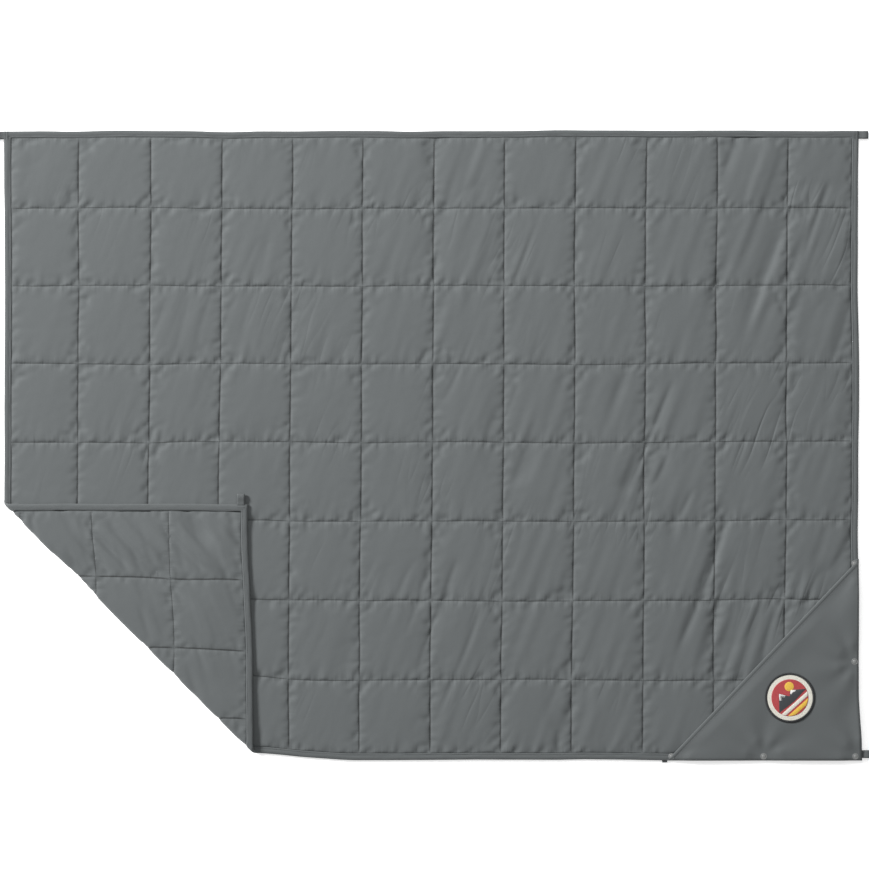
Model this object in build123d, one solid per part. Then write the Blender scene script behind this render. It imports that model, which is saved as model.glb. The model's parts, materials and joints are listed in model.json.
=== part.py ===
"""Quilted camp blanket, lying flat with one corner folded over and a snapped corner panel.

Units are millimetres. +Z is up, +X runs along the long side and +Y towards the top edge. The origin is
the middle of the footprint, on the ground. The bottom left corner (-X, -Y) is folded up and over at 45
degrees, so its back shows. A plain triangular panel is snapped over the bottom right corner.
"""

from math import sqrt
import os

from build123d import *

# Quilt
LENGTH = 1780.0
WIDTH = 1312.0
THICKNESS = 10.0
FABRIC = 1.0
COLUMN_PITCH = 148.0
COLUMN_SEAMS = 5
ROW_PITCH = 164.0
ROW_SEAMS = 3
THREAD_WIDTH = 2.0
THREAD_DEPTH = 0.6
BACK_THREAD_RECESS = 0.2

# Binding tape round the edge, folded over the thinned edge of the quilt
BINDING_WIDTH = 14.0
BINDING_HEIGHT = 7.0
EDGE_INSET = 3.0
EDGE_HEIGHT = 4.8
EDGE_STITCH_INSET = 11.0
EDGE_STITCH_WIDTH = 1.0
EDGE_STITCH_HEIGHT = 0.3

# Gaps between bodies that move against each other
BODY_GAP = 0.3
HALF_GAP = BODY_GAP / 2

# Folded corner: the axis crosses both edges at FOLD_LEG from the corner point
FOLD_LEG = 546.0
LAYER_GAP = 0.5
FOLD_AXIS_Z = THICKNESS + LAYER_GAP / 2
FLAP_RIGHT = 514.0
FLAP_TOP = 535.0
BEND_END_GAP = 4.0

# Corner loops of doubled tape
LOOP_WIDTH = 16.0
LOOP_HEIGHT = 6.5
LOOP_TAPE = 1.0
LOOP_NECK = 4.0
LOOP_NECK_HEIGHT = 1.6
LOOP_EYE = 14.5
LOOP_HINGE_OUT = 1.4
LOOP_EDGE_MARGIN = 8.5
LOOP_BOTTOM_MARGIN = 13.0
TAIL_HEIGHT = 2.4
TAIL_IN = 10.0
TAIL_OUT = 0.4
TACK_ROWS = (3.5, 9.5)
TACK_WIDTH = 1.4
TACK_HEIGHT = 0.4

# Snapped corner panel
PANEL_RIGHT = 886.0
PANEL_BOTTOM = -652.0
PANEL_TOP = -236.0
PANEL_LEFT = 490.0
PANEL_THICKNESS = 1.2
PANEL_LIFT = 0.4
STRIP_TOP = -636.5
PANEL_EDGE = -634.5
HEM_WIDTH = 8.0
HEM_THICKNESS = 1.0
HEM_STITCH_GAP = 2.0
BADGE_CENTRE = (746.0, -525.0)
BADGE_RADIUS = 52.0
BADGE_RIM = 4.0
BADGE_THICKNESS = 1.1
BADGE_RIM_THICKNESS = 1.7

# Snap fasteners
CAP_RADIUS = 6.5
CAP_HEIGHT = 1.6
CAP_ROUND = 1.1
SHANK_RADIUS = 2.4
SOCKET_RADIUS = 4.8
SOCKET_HEIGHT = 1.1
SOCKET_BORE = 2.4
STUD_BASE_RADIUS = 4.8
STUD_BASE_HEIGHT = 0.5
STUD_KNOB_RADIUS = 1.9
STUD_HEIGHT = 1.7
PANEL_SNAPS = ((881.5, -246.0), (881.5, -450.0))
STRIP_SNAPS = ((883.0, -647.5), (692.0, -647.5), (500.0, -647.5))

# Worked out from the sizes above
HALF_LENGTH = LENGTH / 2
HALF_WIDTH = WIDTH / 2
MIDDLE_Z = THICKNESS / 2
FLAP_LOW = THICKNESS + LAYER_GAP
FLAP_MIDDLE_Z = FLAP_LOW + MIDDLE_Z
BINDING_TOP = MIDDLE_Z + BINDING_HEIGHT / 2
PANEL_Z = THICKNESS + PANEL_LIFT
PANEL_TOP_Z = PANEL_Z + PANEL_THICKNESS
CORNER_X = -HALF_LENGTH
CORNER_Y = -HALF_WIDTH
FAR = 4 * LENGTH


def slab(x_low, x_high, y_low, y_high, z_low, z_high):
    """A box between two opposite corners."""
    size = (x_high - x_low, y_high - y_low, z_high - z_low)
    middle = ((x_low + x_high) / 2, (y_low + y_high) / 2, (z_low + z_high) / 2)
    return Pos(*middle) * Box(*size)


def prism(points, z_low, z_high):
    """An upright prism over a polygon of (x, y) points."""
    face = make_face(Polyline(*points, close=True))
    return Pos(0, 0, z_low) * extrude(face, z_high - z_low, dir=(0, 0, 1))


def disc(centre, radius, z_low, z_high):
    """An upright round disc."""
    height = z_high - z_low
    return Pos(centre[0], centre[1], z_low + height / 2) * Cylinder(radius, height)


def inside_fold():
    """Everything on the blanket's side of the fold axis, half a gap away from it."""
    reach = FOLD_LEG + HALF_GAP * sqrt(2)
    points = [
        (CORNER_X + reach + FAR, CORNER_Y - FAR),
        (CORNER_X + reach + FAR, CORNER_Y + FAR),
        (CORNER_X + reach - FAR, CORNER_Y + FAR),
    ]
    return prism(points, -THICKNESS, 4 * THICKNESS)


def write(name, shape):
    """Write one sub-part."""
    solids = shape.solids()
    export_step(solids[0] if len(solids) == 1 else Compound(solids), f"parts/{name}.step")


# The quilt. An outline is (x_low, x_high, y_low, y_high); sides are any of the letters l, r, b and t.


def inset_outline(outline, inset, sides):
    """Move in the sides of an outline that are bound edges."""
    x_low, x_high, y_low, y_high = outline
    return (
        x_low + inset * ("l" in sides),
        x_high - inset * ("r" in sides),
        y_low + inset * ("b" in sides),
        y_high - inset * ("t" in sides),
    )


def seam_lines(pitch, count, low, high):
    """Positions of the quilting seams that fall between two limits."""
    lines = [pitch * i for i in range(-count, count + 1)]
    return [line for line in lines if low - THREAD_WIDTH / 2 < line < high + THREAD_WIDTH / 2]


def thread_lattice(outline, columns, rows, z_low, z_high):
    """The lattice of quilting thread on one face, one flat strip a seam."""
    x_low, x_high, y_low, y_high = outline
    half = THREAD_WIDTH / 2
    strips = []
    for x in columns:
        strips.append(slab(max(x - half, x_low), min(x + half, x_high), y_low, y_high, z_low, z_high))
    for y in rows:
        strips.append(slab(x_low, x_high, y - half, y + half, z_low, z_high))
    return Part() + strips


class Quilt:
    """One flat stretch of quilt: two shells, the filling between, quilting thread and bound edges."""

    def __init__(self, outline, bound, base, columns, rows, keep=None, face_up=True):
        self.outline = outline
        self.bound = bound
        self.base = base
        self.columns = columns
        self.rows = rows
        self.keep = keep
        self.face_up = face_up
        self.field = inset_outline(outline, BINDING_WIDTH, bound)

    def clip(self, shape):
        """Cut a piece off at the fold, where there is one."""
        return shape & self.keep if self.keep else shape

    def layer(self, outline, z_low, z_high):
        """A flat layer over an outline, at heights above this stretch's own base."""
        return self.clip(slab(*outline, self.base + z_low, self.base + z_high))

    def lattice(self, z_low, z_high):
        """Quilting thread, or the groove that it lies in, at heights above the base."""
        z_low, z_high = self.base + z_low, self.base + z_high
        return self.clip(thread_lattice(self.field, self.columns, self.rows, z_low, z_high))

    def upper_shell(self):
        """The upper cloth, grooved along the quilting seams."""
        groove = self.lattice(THICKNESS - THREAD_DEPTH, THICKNESS)
        return self.layer(self.field, THICKNESS - FABRIC, THICKNESS) - groove

    def lower_shell(self):
        """The lower cloth, grooved along the quilting seams."""
        groove = self.lattice(0, BACK_THREAD_RECESS + THREAD_DEPTH)
        return self.layer(self.field, 0, FABRIC) - groove

    def edge_layer(self):
        """The filling's thinned edge, which the binding is folded over."""
        outline = inset_outline(self.outline, EDGE_INSET, self.bound)
        return self.layer(outline, MIDDLE_Z - EDGE_HEIGHT / 2, MIDDLE_Z + EDGE_HEIGHT / 2)

    def filling(self, tails):
        """The sheet of filling, thin at its edges, notched for the tails of the corner loops."""
        core = self.layer(self.field, FABRIC, THICKNESS - FABRIC)
        return core + self.edge_layer() - tails if tails else core + self.edge_layer()

    def thread(self):
        """Quilting thread on both faces."""
        upper = self.lattice(THICKNESS - THREAD_DEPTH, THICKNESS)
        lower = self.lattice(BACK_THREAD_RECESS, BACK_THREAD_RECESS + THREAD_DEPTH)
        return Compound(upper.solids() + lower.solids())

    def side_strip(self, side, width, z_low, z_high, start=0.0):
        """A strip along one bound side, from start to start plus width in from the edge."""
        x_low, x_high, y_low, y_high = self.outline
        end = start + width
        strips = {
            "l": (x_low + start, x_low + end, y_low, y_high),
            "r": (x_high - end, x_high - start, y_low, y_high),
            "b": (x_low, x_high, y_low + start, y_low + end),
            "t": (x_low, x_high, y_high - end, y_high - start),
        }
        strip = list(strips[side])
        if side in "lr":
            strip[2] = max(strip[2], self.field[2]) if "b" in self.bound else strip[2]
            strip[3] = min(strip[3], self.field[3]) if "t" in self.bound else strip[3]
        return self.layer(strip, z_low, z_high)

    def binding(self, side, tails):
        """The binding tape along one side, folded over the filling's thin edge."""
        low, high = MIDDLE_Z - BINDING_HEIGHT / 2, MIDDLE_Z + BINDING_HEIGHT / 2
        tape = self.side_strip(side, BINDING_WIDTH, low, high) - self.edge_layer()
        return tape - tails if tails else tape

    def binding_stitch(self, gaps):
        """Stitching along the inner edge of every bound side, on both faces, left out where the gaps are."""
        top = MIDDLE_Z + BINDING_HEIGHT / 2
        bottom = MIDDLE_Z - BINDING_HEIGHT / 2
        lines = []
        for side in self.bound:
            for low, high in ((top, top + EDGE_STITCH_HEIGHT), (bottom - EDGE_STITCH_HEIGHT, bottom)):
                line = self.side_strip(side, EDGE_STITCH_WIDTH, low, high, EDGE_STITCH_INSET)
                lines += line.solids()
        return Compound((Part() + lines - gaps).solids())


class CornerLoop:
    """A loop of doubled tape sewn into the binding, pointing out from a bound edge."""

    def __init__(self, edge_point, turn, middle_z):
        self.place = Pos(edge_point[0], edge_point[1], middle_z) * Rot(0, 0, turn)

    def eye(self):
        """The loop itself: a flat neck sewn shut and a slightly open eye."""
        neck_end = LOOP_HINGE_OUT + LOOP_NECK
        eye_middle = neck_end + LOOP_EYE / 2
        outer = SlotOverall(LOOP_EYE, LOOP_HEIGHT)
        inner = SlotOverall(LOOP_EYE - 2 * LOOP_TAPE, LOOP_HEIGHT - 2 * LOOP_TAPE)
        ring = Pos(eye_middle, 0, 0) * Rot(90, 0, 0) * extrude(outer - inner, LOOP_WIDTH / 2, both=True)
        neck_long = LOOP_NECK + LOOP_TAPE / 2
        neck = Pos(LOOP_HINGE_OUT + neck_long / 2, 0, 0) * Box(neck_long, LOOP_WIDTH, LOOP_NECK_HEIGHT)
        return self.place * (neck + ring)

    def tails(self):
        """The tape's two ends, held inside the binding."""
        length = TAIL_IN + TAIL_OUT
        return self.place * Pos(TAIL_OUT - length / 2, 0, 0) * Box(length, LOOP_WIDTH, TAIL_HEIGHT)

    def tacks(self, gaps):
        """Bar tacks across the binding, on both faces, over the tails, left out where the gaps are."""
        rows = []
        for inset in TACK_ROWS:
            for face in (1, -1):
                height = face * (BINDING_HEIGHT / 2 + TACK_HEIGHT / 2)
                bar = Box(TACK_WIDTH, LOOP_WIDTH - 2, TACK_HEIGHT)
                rows.append(self.place * Pos(-inset, 0, height) * bar)
        bars = Part() + rows
        return Compound((bars - gaps if gaps else bars).solids())


# The snapped panel


def mouth_normal():
    """Unit normal of the panel's slanted mouth, pointing away from the corner."""
    run = PANEL_RIGHT - PANEL_LEFT
    rise = PANEL_TOP - PANEL_BOTTOM
    length = sqrt(run * run + rise * rise)
    return -rise / length, run / length


def mouth_band(inset, width, z_low, z_high):
    """A band along the slanted mouth, from inset to inset plus width inside it."""
    nx, ny = mouth_normal()
    near = inset + width
    start = (PANEL_LEFT, PANEL_BOTTOM)
    end = (PANEL_RIGHT, PANEL_TOP)
    along_x, along_y = ny, -nx
    points = [
        (start[0] - nx * inset - along_x * FAR, start[1] - ny * inset - along_y * FAR),
        (end[0] - nx * inset + along_x * FAR, end[1] - ny * inset + along_y * FAR),
        (end[0] - nx * near + along_x * FAR, end[1] - ny * near + along_y * FAR),
        (start[0] - nx * near - along_x * FAR, start[1] - ny * near - along_y * FAR),
    ]
    return prism(points, z_low, z_high)


def panel_outline(z_low, z_high):
    """The whole triangle of panel cloth."""
    points = [(PANEL_LEFT, PANEL_BOTTOM), (PANEL_RIGHT, PANEL_BOTTOM), (PANEL_RIGHT, PANEL_TOP)]
    return prism(points, z_low, z_high)


def panel_cloth():
    """The part of the panel that lifts."""
    cloth = panel_outline(PANEL_Z, PANEL_TOP_Z)
    cloth &= slab(-FAR, FAR, PANEL_EDGE, FAR, PANEL_Z, PANEL_TOP_Z)
    return cloth - shanks(PANEL_SNAPS)


def panel_strip():
    """The strip along the bottom edge that stays snapped down."""
    strip = panel_outline(PANEL_Z, PANEL_TOP_Z)
    strip &= slab(-FAR, FAR, -FAR, STRIP_TOP, PANEL_Z, PANEL_TOP_Z)
    return strip - shanks(STRIP_SNAPS)


def mouth_hem():
    """The raised hem along the slanted mouth of the lifting panel, clear of the snap's cap."""
    hem = panel_outline(PANEL_TOP_Z, PANEL_TOP_Z + HEM_THICKNESS)
    hem &= mouth_band(0, HEM_WIDTH, PANEL_TOP_Z, PANEL_TOP_Z + HEM_THICKNESS)
    hem &= slab(-FAR, FAR, PANEL_EDGE, FAR, PANEL_TOP_Z, PANEL_TOP_Z + HEM_THICKNESS)
    for snap in PANEL_SNAPS:
        hem -= disc(snap, CAP_RADIUS, PANEL_TOP_Z, PANEL_TOP_Z + HEM_THICKNESS)
    return hem.solids().sort_by(SortBy.VOLUME)[-1]


def mouth_stitch():
    """Stitching just below the hem."""
    low, high = PANEL_TOP_Z, PANEL_TOP_Z + EDGE_STITCH_HEIGHT
    line = mouth_band(HEM_WIDTH + HEM_STITCH_GAP, EDGE_STITCH_WIDTH, low, high)
    line &= panel_outline(low, high)
    line &= slab(-FAR, PANEL_SNAPS[0][0] - CAP_RADIUS - 1, PANEL_EDGE, FAR, low, high)
    return line


def badge_patch():
    """The embroidered ground of the round badge."""
    return disc(BADGE_CENTRE, BADGE_RADIUS - BADGE_RIM, PANEL_TOP_Z, PANEL_TOP_Z + BADGE_THICKNESS)


def badge_rim():
    """The overlocked rim of the round badge."""
    top = PANEL_TOP_Z + BADGE_RIM_THICKNESS
    ring = disc(BADGE_CENTRE, BADGE_RADIUS, PANEL_TOP_Z, top)
    return ring - disc(BADGE_CENTRE, BADGE_RADIUS - BADGE_RIM, PANEL_TOP_Z, top)


# Snap fasteners


def shanks(snaps):
    """The rivet shanks that pass through the panel."""
    return [disc(snap, SHANK_RADIUS, PANEL_Z, PANEL_TOP_Z) for snap in snaps]


def snap_caps(snaps):
    """Domed caps with their shanks."""
    caps = []
    for snap in snaps:
        head = disc(snap, CAP_RADIUS, PANEL_TOP_Z, PANEL_TOP_Z + CAP_HEIGHT)
        head = fillet(head.faces().sort_by(Axis.Z)[-1].edges(), CAP_ROUND)
        caps.append(head + disc(snap, SHANK_RADIUS, PANEL_Z, PANEL_TOP_Z))
    return Compound(caps)


def snap_sockets(snaps):
    """Ring sockets under the panel."""
    low = PANEL_Z - SOCKET_HEIGHT
    rings = []
    for snap in snaps:
        rings.append(disc(snap, SOCKET_RADIUS, low, PANEL_Z) - disc(snap, SOCKET_BORE, low, PANEL_Z))
    return Compound(rings)


def snap_studs(snaps):
    """Studs riveted to the binding."""
    studs = []
    for snap in snaps:
        base = disc(snap, STUD_BASE_RADIUS, BINDING_TOP, BINDING_TOP + STUD_BASE_HEIGHT)
        studs.append(base + disc(snap, STUD_KNOB_RADIUS, BINDING_TOP, BINDING_TOP + STUD_HEIGHT))
    return Compound(studs)


def fold_bend():
    """The stretch of quilt that bends round the fold, from the lower layer to the folded one."""
    start = FOLD_LEG - FLAP_TOP
    length = (FLAP_RIGHT - start) * sqrt(2) - 2 * BEND_END_GAP
    outer = FOLD_AXIS_Z
    inner = LAYER_GAP / 2
    pipe = Cylinder(outer, length) - Cylinder(inner, length)
    half = pipe & Pos(-outer, 0, 0) * Box(2 * outer, 2 * outer, length)
    middle_x = CORNER_X + (start + FLAP_RIGHT) / 2
    middle_y = CORNER_Y + FOLD_LEG - (start + FLAP_RIGHT) / 2
    return Pos(middle_x, middle_y, FOLD_AXIS_Z) * Rot(0, 0, 45) * Rot(90, 0, 0) * half


def main():
    """Build every sub-part and write it."""
    os.makedirs("parts", exist_ok=True)

    right = Quilt(
        outline=(HALF_GAP, HALF_LENGTH, -HALF_WIDTH, HALF_WIDTH),
        bound="rbt",
        base=0,
        columns=seam_lines(COLUMN_PITCH, COLUMN_SEAMS, HALF_GAP, HALF_LENGTH),
        rows=seam_lines(ROW_PITCH, ROW_SEAMS, -HALF_WIDTH, HALF_WIDTH),
    )
    left = Quilt(
        outline=(-HALF_LENGTH, -HALF_GAP, -HALF_WIDTH, HALF_WIDTH),
        bound="lbt",
        base=0,
        columns=seam_lines(COLUMN_PITCH, COLUMN_SEAMS, -HALF_LENGTH, -HALF_GAP),
        rows=seam_lines(ROW_PITCH, ROW_SEAMS, -HALF_WIDTH, HALF_WIDTH),
        keep=inside_fold(),
    )
    # Folding swaps rows and columns: a row seam runs up the flap and a column seam runs across it
    folded_columns = [CORNER_X + FLAP_RIGHT - ROW_PITCH * i for i in (1, 2, 3)]
    folded_rows = [CORNER_Y + FLAP_TOP - COLUMN_PITCH * i for i in (1, 2, 3)]
    corner = Quilt(
        outline=(CORNER_X, CORNER_X + FLAP_RIGHT, CORNER_Y, CORNER_Y + FLAP_TOP),
        bound="rt",
        base=FLAP_LOW,
        columns=folded_columns,
        rows=folded_rows,
        keep=inside_fold(),
        face_up=False,
    )

    top_y = HALF_WIDTH - LOOP_EDGE_MARGIN
    bottom_y = -HALF_WIDTH + LOOP_BOTTOM_MARGIN
    loops = {
        "top_right": CornerLoop((HALF_LENGTH, top_y), 0, MIDDLE_Z),
        "bottom_right": CornerLoop((HALF_LENGTH, bottom_y), 0, MIDDLE_Z),
        "top_left": CornerLoop((-HALF_LENGTH, top_y), 180, MIDDLE_Z),
        "folded": CornerLoop(
            (CORNER_X + FLAP_RIGHT - LOOP_EDGE_MARGIN, CORNER_Y + FLAP_TOP), 90, FLAP_MIDDLE_Z
        ),
    }
    studs = snap_studs(PANEL_SNAPS + STRIP_SNAPS)
    tacks = {name: loop.tacks(studs.solids()) for name, loop in loops.items()}
    for name, loop in loops.items():
        write(f"loop_{name}", loop.eye())
        write(f"loop_tails_{name}", loop.tails())
        write(f"loop_tacks_{name}", tacks[name])

    halves = {
        "right": (right, [loops["top_right"].tails(), loops["bottom_right"].tails()]),
        "left": (left, [loops["top_left"].tails()]),
        "corner": (corner, [loops["folded"].tails()]),
    }
    stitch_gaps = studs.solids() + [bar for bars in tacks.values() for bar in bars.solids()]
    sides = {"l": "left", "r": "right", "b": "bottom", "t": "top"}
    for name, (quilt, tails) in halves.items():
        upper, lower = ("face", "back") if quilt.face_up else ("back", "face")
        write(f"{upper}_cloth_{name}", quilt.upper_shell())
        write(f"{lower}_cloth_{name}", quilt.lower_shell())
        write(f"filling_{name}", quilt.filling(tails))
        write(f"quilting_thread_{name}", quilt.thread())
        write(f"binding_stitch_{name}", quilt.binding_stitch(stitch_gaps))
        for side in quilt.bound:
            write(f"binding_{name}_{sides[side]}", quilt.binding(side, tails))
    write("fold_bend", fold_bend())

    write("panel_cloth", panel_cloth())
    write("panel_strip", panel_strip())
    write("panel_mouth_hem", mouth_hem())
    write("panel_mouth_stitch", mouth_stitch())
    write("badge_patch", badge_patch())
    write("badge_rim", badge_rim())
    write("snap_caps_panel", snap_caps(PANEL_SNAPS))
    write("snap_caps_strip", snap_caps(STRIP_SNAPS))
    write("snap_sockets_panel", snap_sockets(PANEL_SNAPS))
    write("snap_sockets_strip", snap_sockets(STRIP_SNAPS))
    write("snap_studs", studs)


main()
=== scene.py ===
"""Quilted camp blanket lying flat, one corner folded over, a plain panel snapped over another corner."""

import json
import logging
import math
from dataclasses import dataclass, field
from enum import Enum
from typing import Iterable, Sequence

import bmesh
import bpy
import numpy as np
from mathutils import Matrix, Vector

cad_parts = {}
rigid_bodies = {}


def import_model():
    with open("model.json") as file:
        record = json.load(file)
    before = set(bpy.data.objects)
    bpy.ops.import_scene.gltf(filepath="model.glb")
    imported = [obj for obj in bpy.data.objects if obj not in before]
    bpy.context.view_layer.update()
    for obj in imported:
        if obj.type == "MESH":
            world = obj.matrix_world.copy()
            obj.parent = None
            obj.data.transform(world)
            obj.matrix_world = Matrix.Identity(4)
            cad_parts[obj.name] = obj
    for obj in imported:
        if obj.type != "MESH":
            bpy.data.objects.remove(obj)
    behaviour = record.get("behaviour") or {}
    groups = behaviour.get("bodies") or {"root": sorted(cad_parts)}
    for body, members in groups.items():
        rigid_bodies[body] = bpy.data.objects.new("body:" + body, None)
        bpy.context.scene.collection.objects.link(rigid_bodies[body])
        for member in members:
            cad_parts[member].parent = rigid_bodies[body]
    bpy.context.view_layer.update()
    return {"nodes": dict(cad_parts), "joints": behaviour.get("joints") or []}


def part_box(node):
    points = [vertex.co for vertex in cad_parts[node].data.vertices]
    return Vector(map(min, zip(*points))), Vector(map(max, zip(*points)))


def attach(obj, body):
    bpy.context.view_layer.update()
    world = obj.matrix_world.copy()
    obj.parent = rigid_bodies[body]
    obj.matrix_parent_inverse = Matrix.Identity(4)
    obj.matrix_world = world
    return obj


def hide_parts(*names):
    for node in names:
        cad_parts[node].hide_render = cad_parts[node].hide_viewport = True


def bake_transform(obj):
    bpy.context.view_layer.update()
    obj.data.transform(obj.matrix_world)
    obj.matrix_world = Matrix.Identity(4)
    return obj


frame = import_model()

LOG = logging.getLogger("camp_blanket")
MM = 0.001
SEED = 20
COLUMN_PITCH = 148 * MM
ROW_PITCH = 164 * MM


class Region(Enum):
    """The stretches of blanket that move apart, from the right to the folded corner."""

    RIGHT = "right"
    MIDDLE = "middle"
    LEFT = "left"
    BEND = "bend"
    FOLDED = "folded"


class Side(Enum):
    """The two faces of the quilt."""

    FACE = 1
    BACK = -1


# ---------------------------------------------------------------- small maths


def smooth_step(value: np.ndarray) -> np.ndarray:
    """Rise smoothly from 0 to 1.

    Args:
        value: Share of the way, clipped to 0 to 1.

    Returns:
        The smoothed share.
    """
    t = np.clip(value, 0.0, 1.0)
    return t * t * (3 - 2 * t)


class SoftNoise:
    """Seeded smooth random heights over a plane, from -1 to 1."""

    TABLE = 128

    def __init__(self, seed: int) -> None:
        """Fill the table of random values."""
        self.table = np.random.default_rng(seed).uniform(-1, 1, (self.TABLE, self.TABLE))

    def at(self, x: np.ndarray, y: np.ndarray, size: float) -> np.ndarray:
        """Read the noise.

        Args:
            x: Positions across.
            y: Positions up.
            size: Width of one swell.

        Returns:
            Heights from -1 to 1.
        """
        u, v = x / size + 31.7, y / size + 47.3
        i, j = np.floor(u).astype(int), np.floor(v).astype(int)
        a, b = smooth_step(u - i), smooth_step(v - j)
        n = self.TABLE
        low = self.table[i % n, j % n] * (1 - a) + self.table[(i + 1) % n, j % n] * a
        high = self.table[i % n, (j + 1) % n] * (1 - a) + self.table[(i + 1) % n, (j + 1) % n] * a
        return low * (1 - b) + high * b


# ---------------------------------------------------------------- shader building


class Value:
    """A shader socket that maths can be written with."""

    def __init__(self, nodes: "Nodes", socket: bpy.types.NodeSocket) -> None:
        """Wrap a socket of one of a tree's nodes."""
        self.nodes = nodes
        self.socket = socket

    def _with(self, operation: str, first: object, second: object) -> "Value":
        """Add one Math node."""
        node = self.nodes.add("ShaderNodeMath", {"operation": operation}, {0: first, 1: second})
        return Value(self.nodes, node.outputs[0])

    def __add__(self, other: object) -> "Value":
        """Add."""
        return self._with("ADD", self, other)

    def __sub__(self, other: object) -> "Value":
        """Subtract."""
        return self._with("SUBTRACT", self, other)

    def __rsub__(self, other: object) -> "Value":
        """Subtract from a number."""
        return self._with("SUBTRACT", other, self)

    def __mul__(self, other: object) -> "Value":
        """Multiply."""
        return self._with("MULTIPLY", self, other)

    def __truediv__(self, other: object) -> "Value":
        """Divide."""
        return self._with("DIVIDE", self, other)

    def __rtruediv__(self, other: object) -> "Value":
        """Divide a number."""
        return self._with("DIVIDE", other, self)

    def power(self, exponent: float) -> "Value":
        """Raise to a power."""
        return self._with("POWER", self, exponent)

    def sine(self) -> "Value":
        """Sine of an angle in radians."""
        return self._with("SINE", self, 0.0)

    def fraction(self) -> "Value":
        """The part after the decimal point."""
        return self._with("FRACT", self, 0.0)

    def least(self, other: object) -> "Value":
        """The smaller of two."""
        return self._with("MINIMUM", self, other)

    def most(self, other: object) -> "Value":
        """The larger of two."""
        return self._with("MAXIMUM", self, other)

    __radd__ = __add__
    __rmul__ = __mul__


class Nodes:
    """A node tree under construction, of a material or of Geometry Nodes."""

    def __init__(self, tree: bpy.types.NodeTree) -> None:
        """Take the tree to build in."""
        self.tree = tree

    def plug(self, value: object, socket: bpy.types.NodeSocket) -> None:
        """Link a socket to another, or set its value.

        Args:
            value: A wrapped value, a socket or a plain value.
            socket: The input to fill.
        """
        if isinstance(value, Value):
            value = value.socket
        if isinstance(value, bpy.types.NodeSocket):
            self.tree.links.new(value, socket)
        else:
            socket.default_value = value

    def add(self, kind: str, settings: dict, inputs: dict) -> bpy.types.Node:
        """Add a node.

        Args:
            kind: Blender's node type.
            settings: Attributes of the node, set before its sockets.
            inputs: Socket values or links, by name or number.

        Returns:
            The node.
        """
        node = self.tree.nodes.new(kind)
        for name, value in settings.items():
            setattr(node, name, value)
        for name, value in inputs.items():
            self.plug(value, node.inputs[name])
        return node


class Shader(Nodes):
    """A material under construction around one Principled shader."""

    def __init__(self, name: str) -> None:
        """Make the material with its output and Principled shader."""
        self.material = bpy.data.materials.new(name)
        self.material.use_nodes = True
        super().__init__(self.material.node_tree)
        self.tree.nodes.clear()
        self.surface = self.add("ShaderNodeBsdfPrincipled", {}, {})
        self.add("ShaderNodeOutputMaterial", {}, {0: self.surface.outputs[0]})

    def on_object(self) -> bpy.types.NodeSocket:
        """Object coordinates."""
        return self.add("ShaderNodeTexCoord", {}, {}).outputs["Object"]

    def on_layout(self) -> bpy.types.NodeSocket:
        """The piece's own flat layout."""
        return self.add("ShaderNodeUVMap", {"uv_map": "layout"}, {}).outputs[0]

    def parts(self, vector: bpy.types.NodeSocket) -> tuple[Value, Value, Value]:
        """Split a vector in its three values."""
        split = self.add("ShaderNodeSeparateXYZ", {}, {0: vector})
        return tuple(Value(self, socket) for socket in split.outputs)

    def joined(self, first: Value, second: Value) -> bpy.types.NodeSocket:
        """Join two values in a vector."""
        return self.add("ShaderNodeCombineXYZ", {}, {0: first, 1: second}).outputs[0]

    def stretched(self, vector: bpy.types.NodeSocket, scale: Sequence[float]) -> bpy.types.NodeSocket:
        """Scale a coordinate."""
        settings = {"vector_type": "POINT"}
        return self.add("ShaderNodeMapping", settings, {0: vector, "Scale": scale}).outputs[0]

    def noise(self, vector: object, scale: float, detail: float) -> Value:
        """Noise from 0 to 1."""
        inputs = {"Vector": vector, "Scale": scale, "Detail": detail}
        return Value(self, self.add("ShaderNodeTexNoise", {}, inputs).outputs[0])

    def between(self, factor: Value, low: object, high: object) -> bpy.types.NodeSocket:
        """Mix two colours.

        Args:
            factor: Share of the second colour.
            low: First colour, plain or a link.
            high: Second colour, plain or a link.

        Returns:
            The mixed colour.
        """
        ends = [end if isinstance(end, bpy.types.NodeSocket) else (*end, 1.0) for end in (low, high)]
        node = self.add("ShaderNodeMix", {"data_type": "RGBA"}, {0: factor, 6: ends[0], 7: ends[1]})
        return node.outputs[2]

    def bump(self, height: Value, strength: float) -> bpy.types.NodeSocket:
        """Turn heights in metres into a normal."""
        inputs = {"Strength": strength, "Distance": 1.0, "Height": height}
        return self.add("ShaderNodeBump", {}, inputs).outputs[0]

    def finish(self, **sockets: object) -> bpy.types.Material:
        """Set the Principled shader's sockets; underscores stand for spaces.

        Args:
            **sockets: Values or links, by the socket's name.

        Returns:
            The finished material.
        """
        for name, value in sockets.items():
            self.plug(value, self.surface.inputs[name.replace("_", " ")])
        return self.material


def tinted(colour: Sequence[float], share: float) -> tuple[float, float, float]:
    """A colour made lighter or darker by a share."""
    return tuple(min(1.0, c * share) for c in colour)


# ---------------------------------------------------------------- finishes


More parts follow.
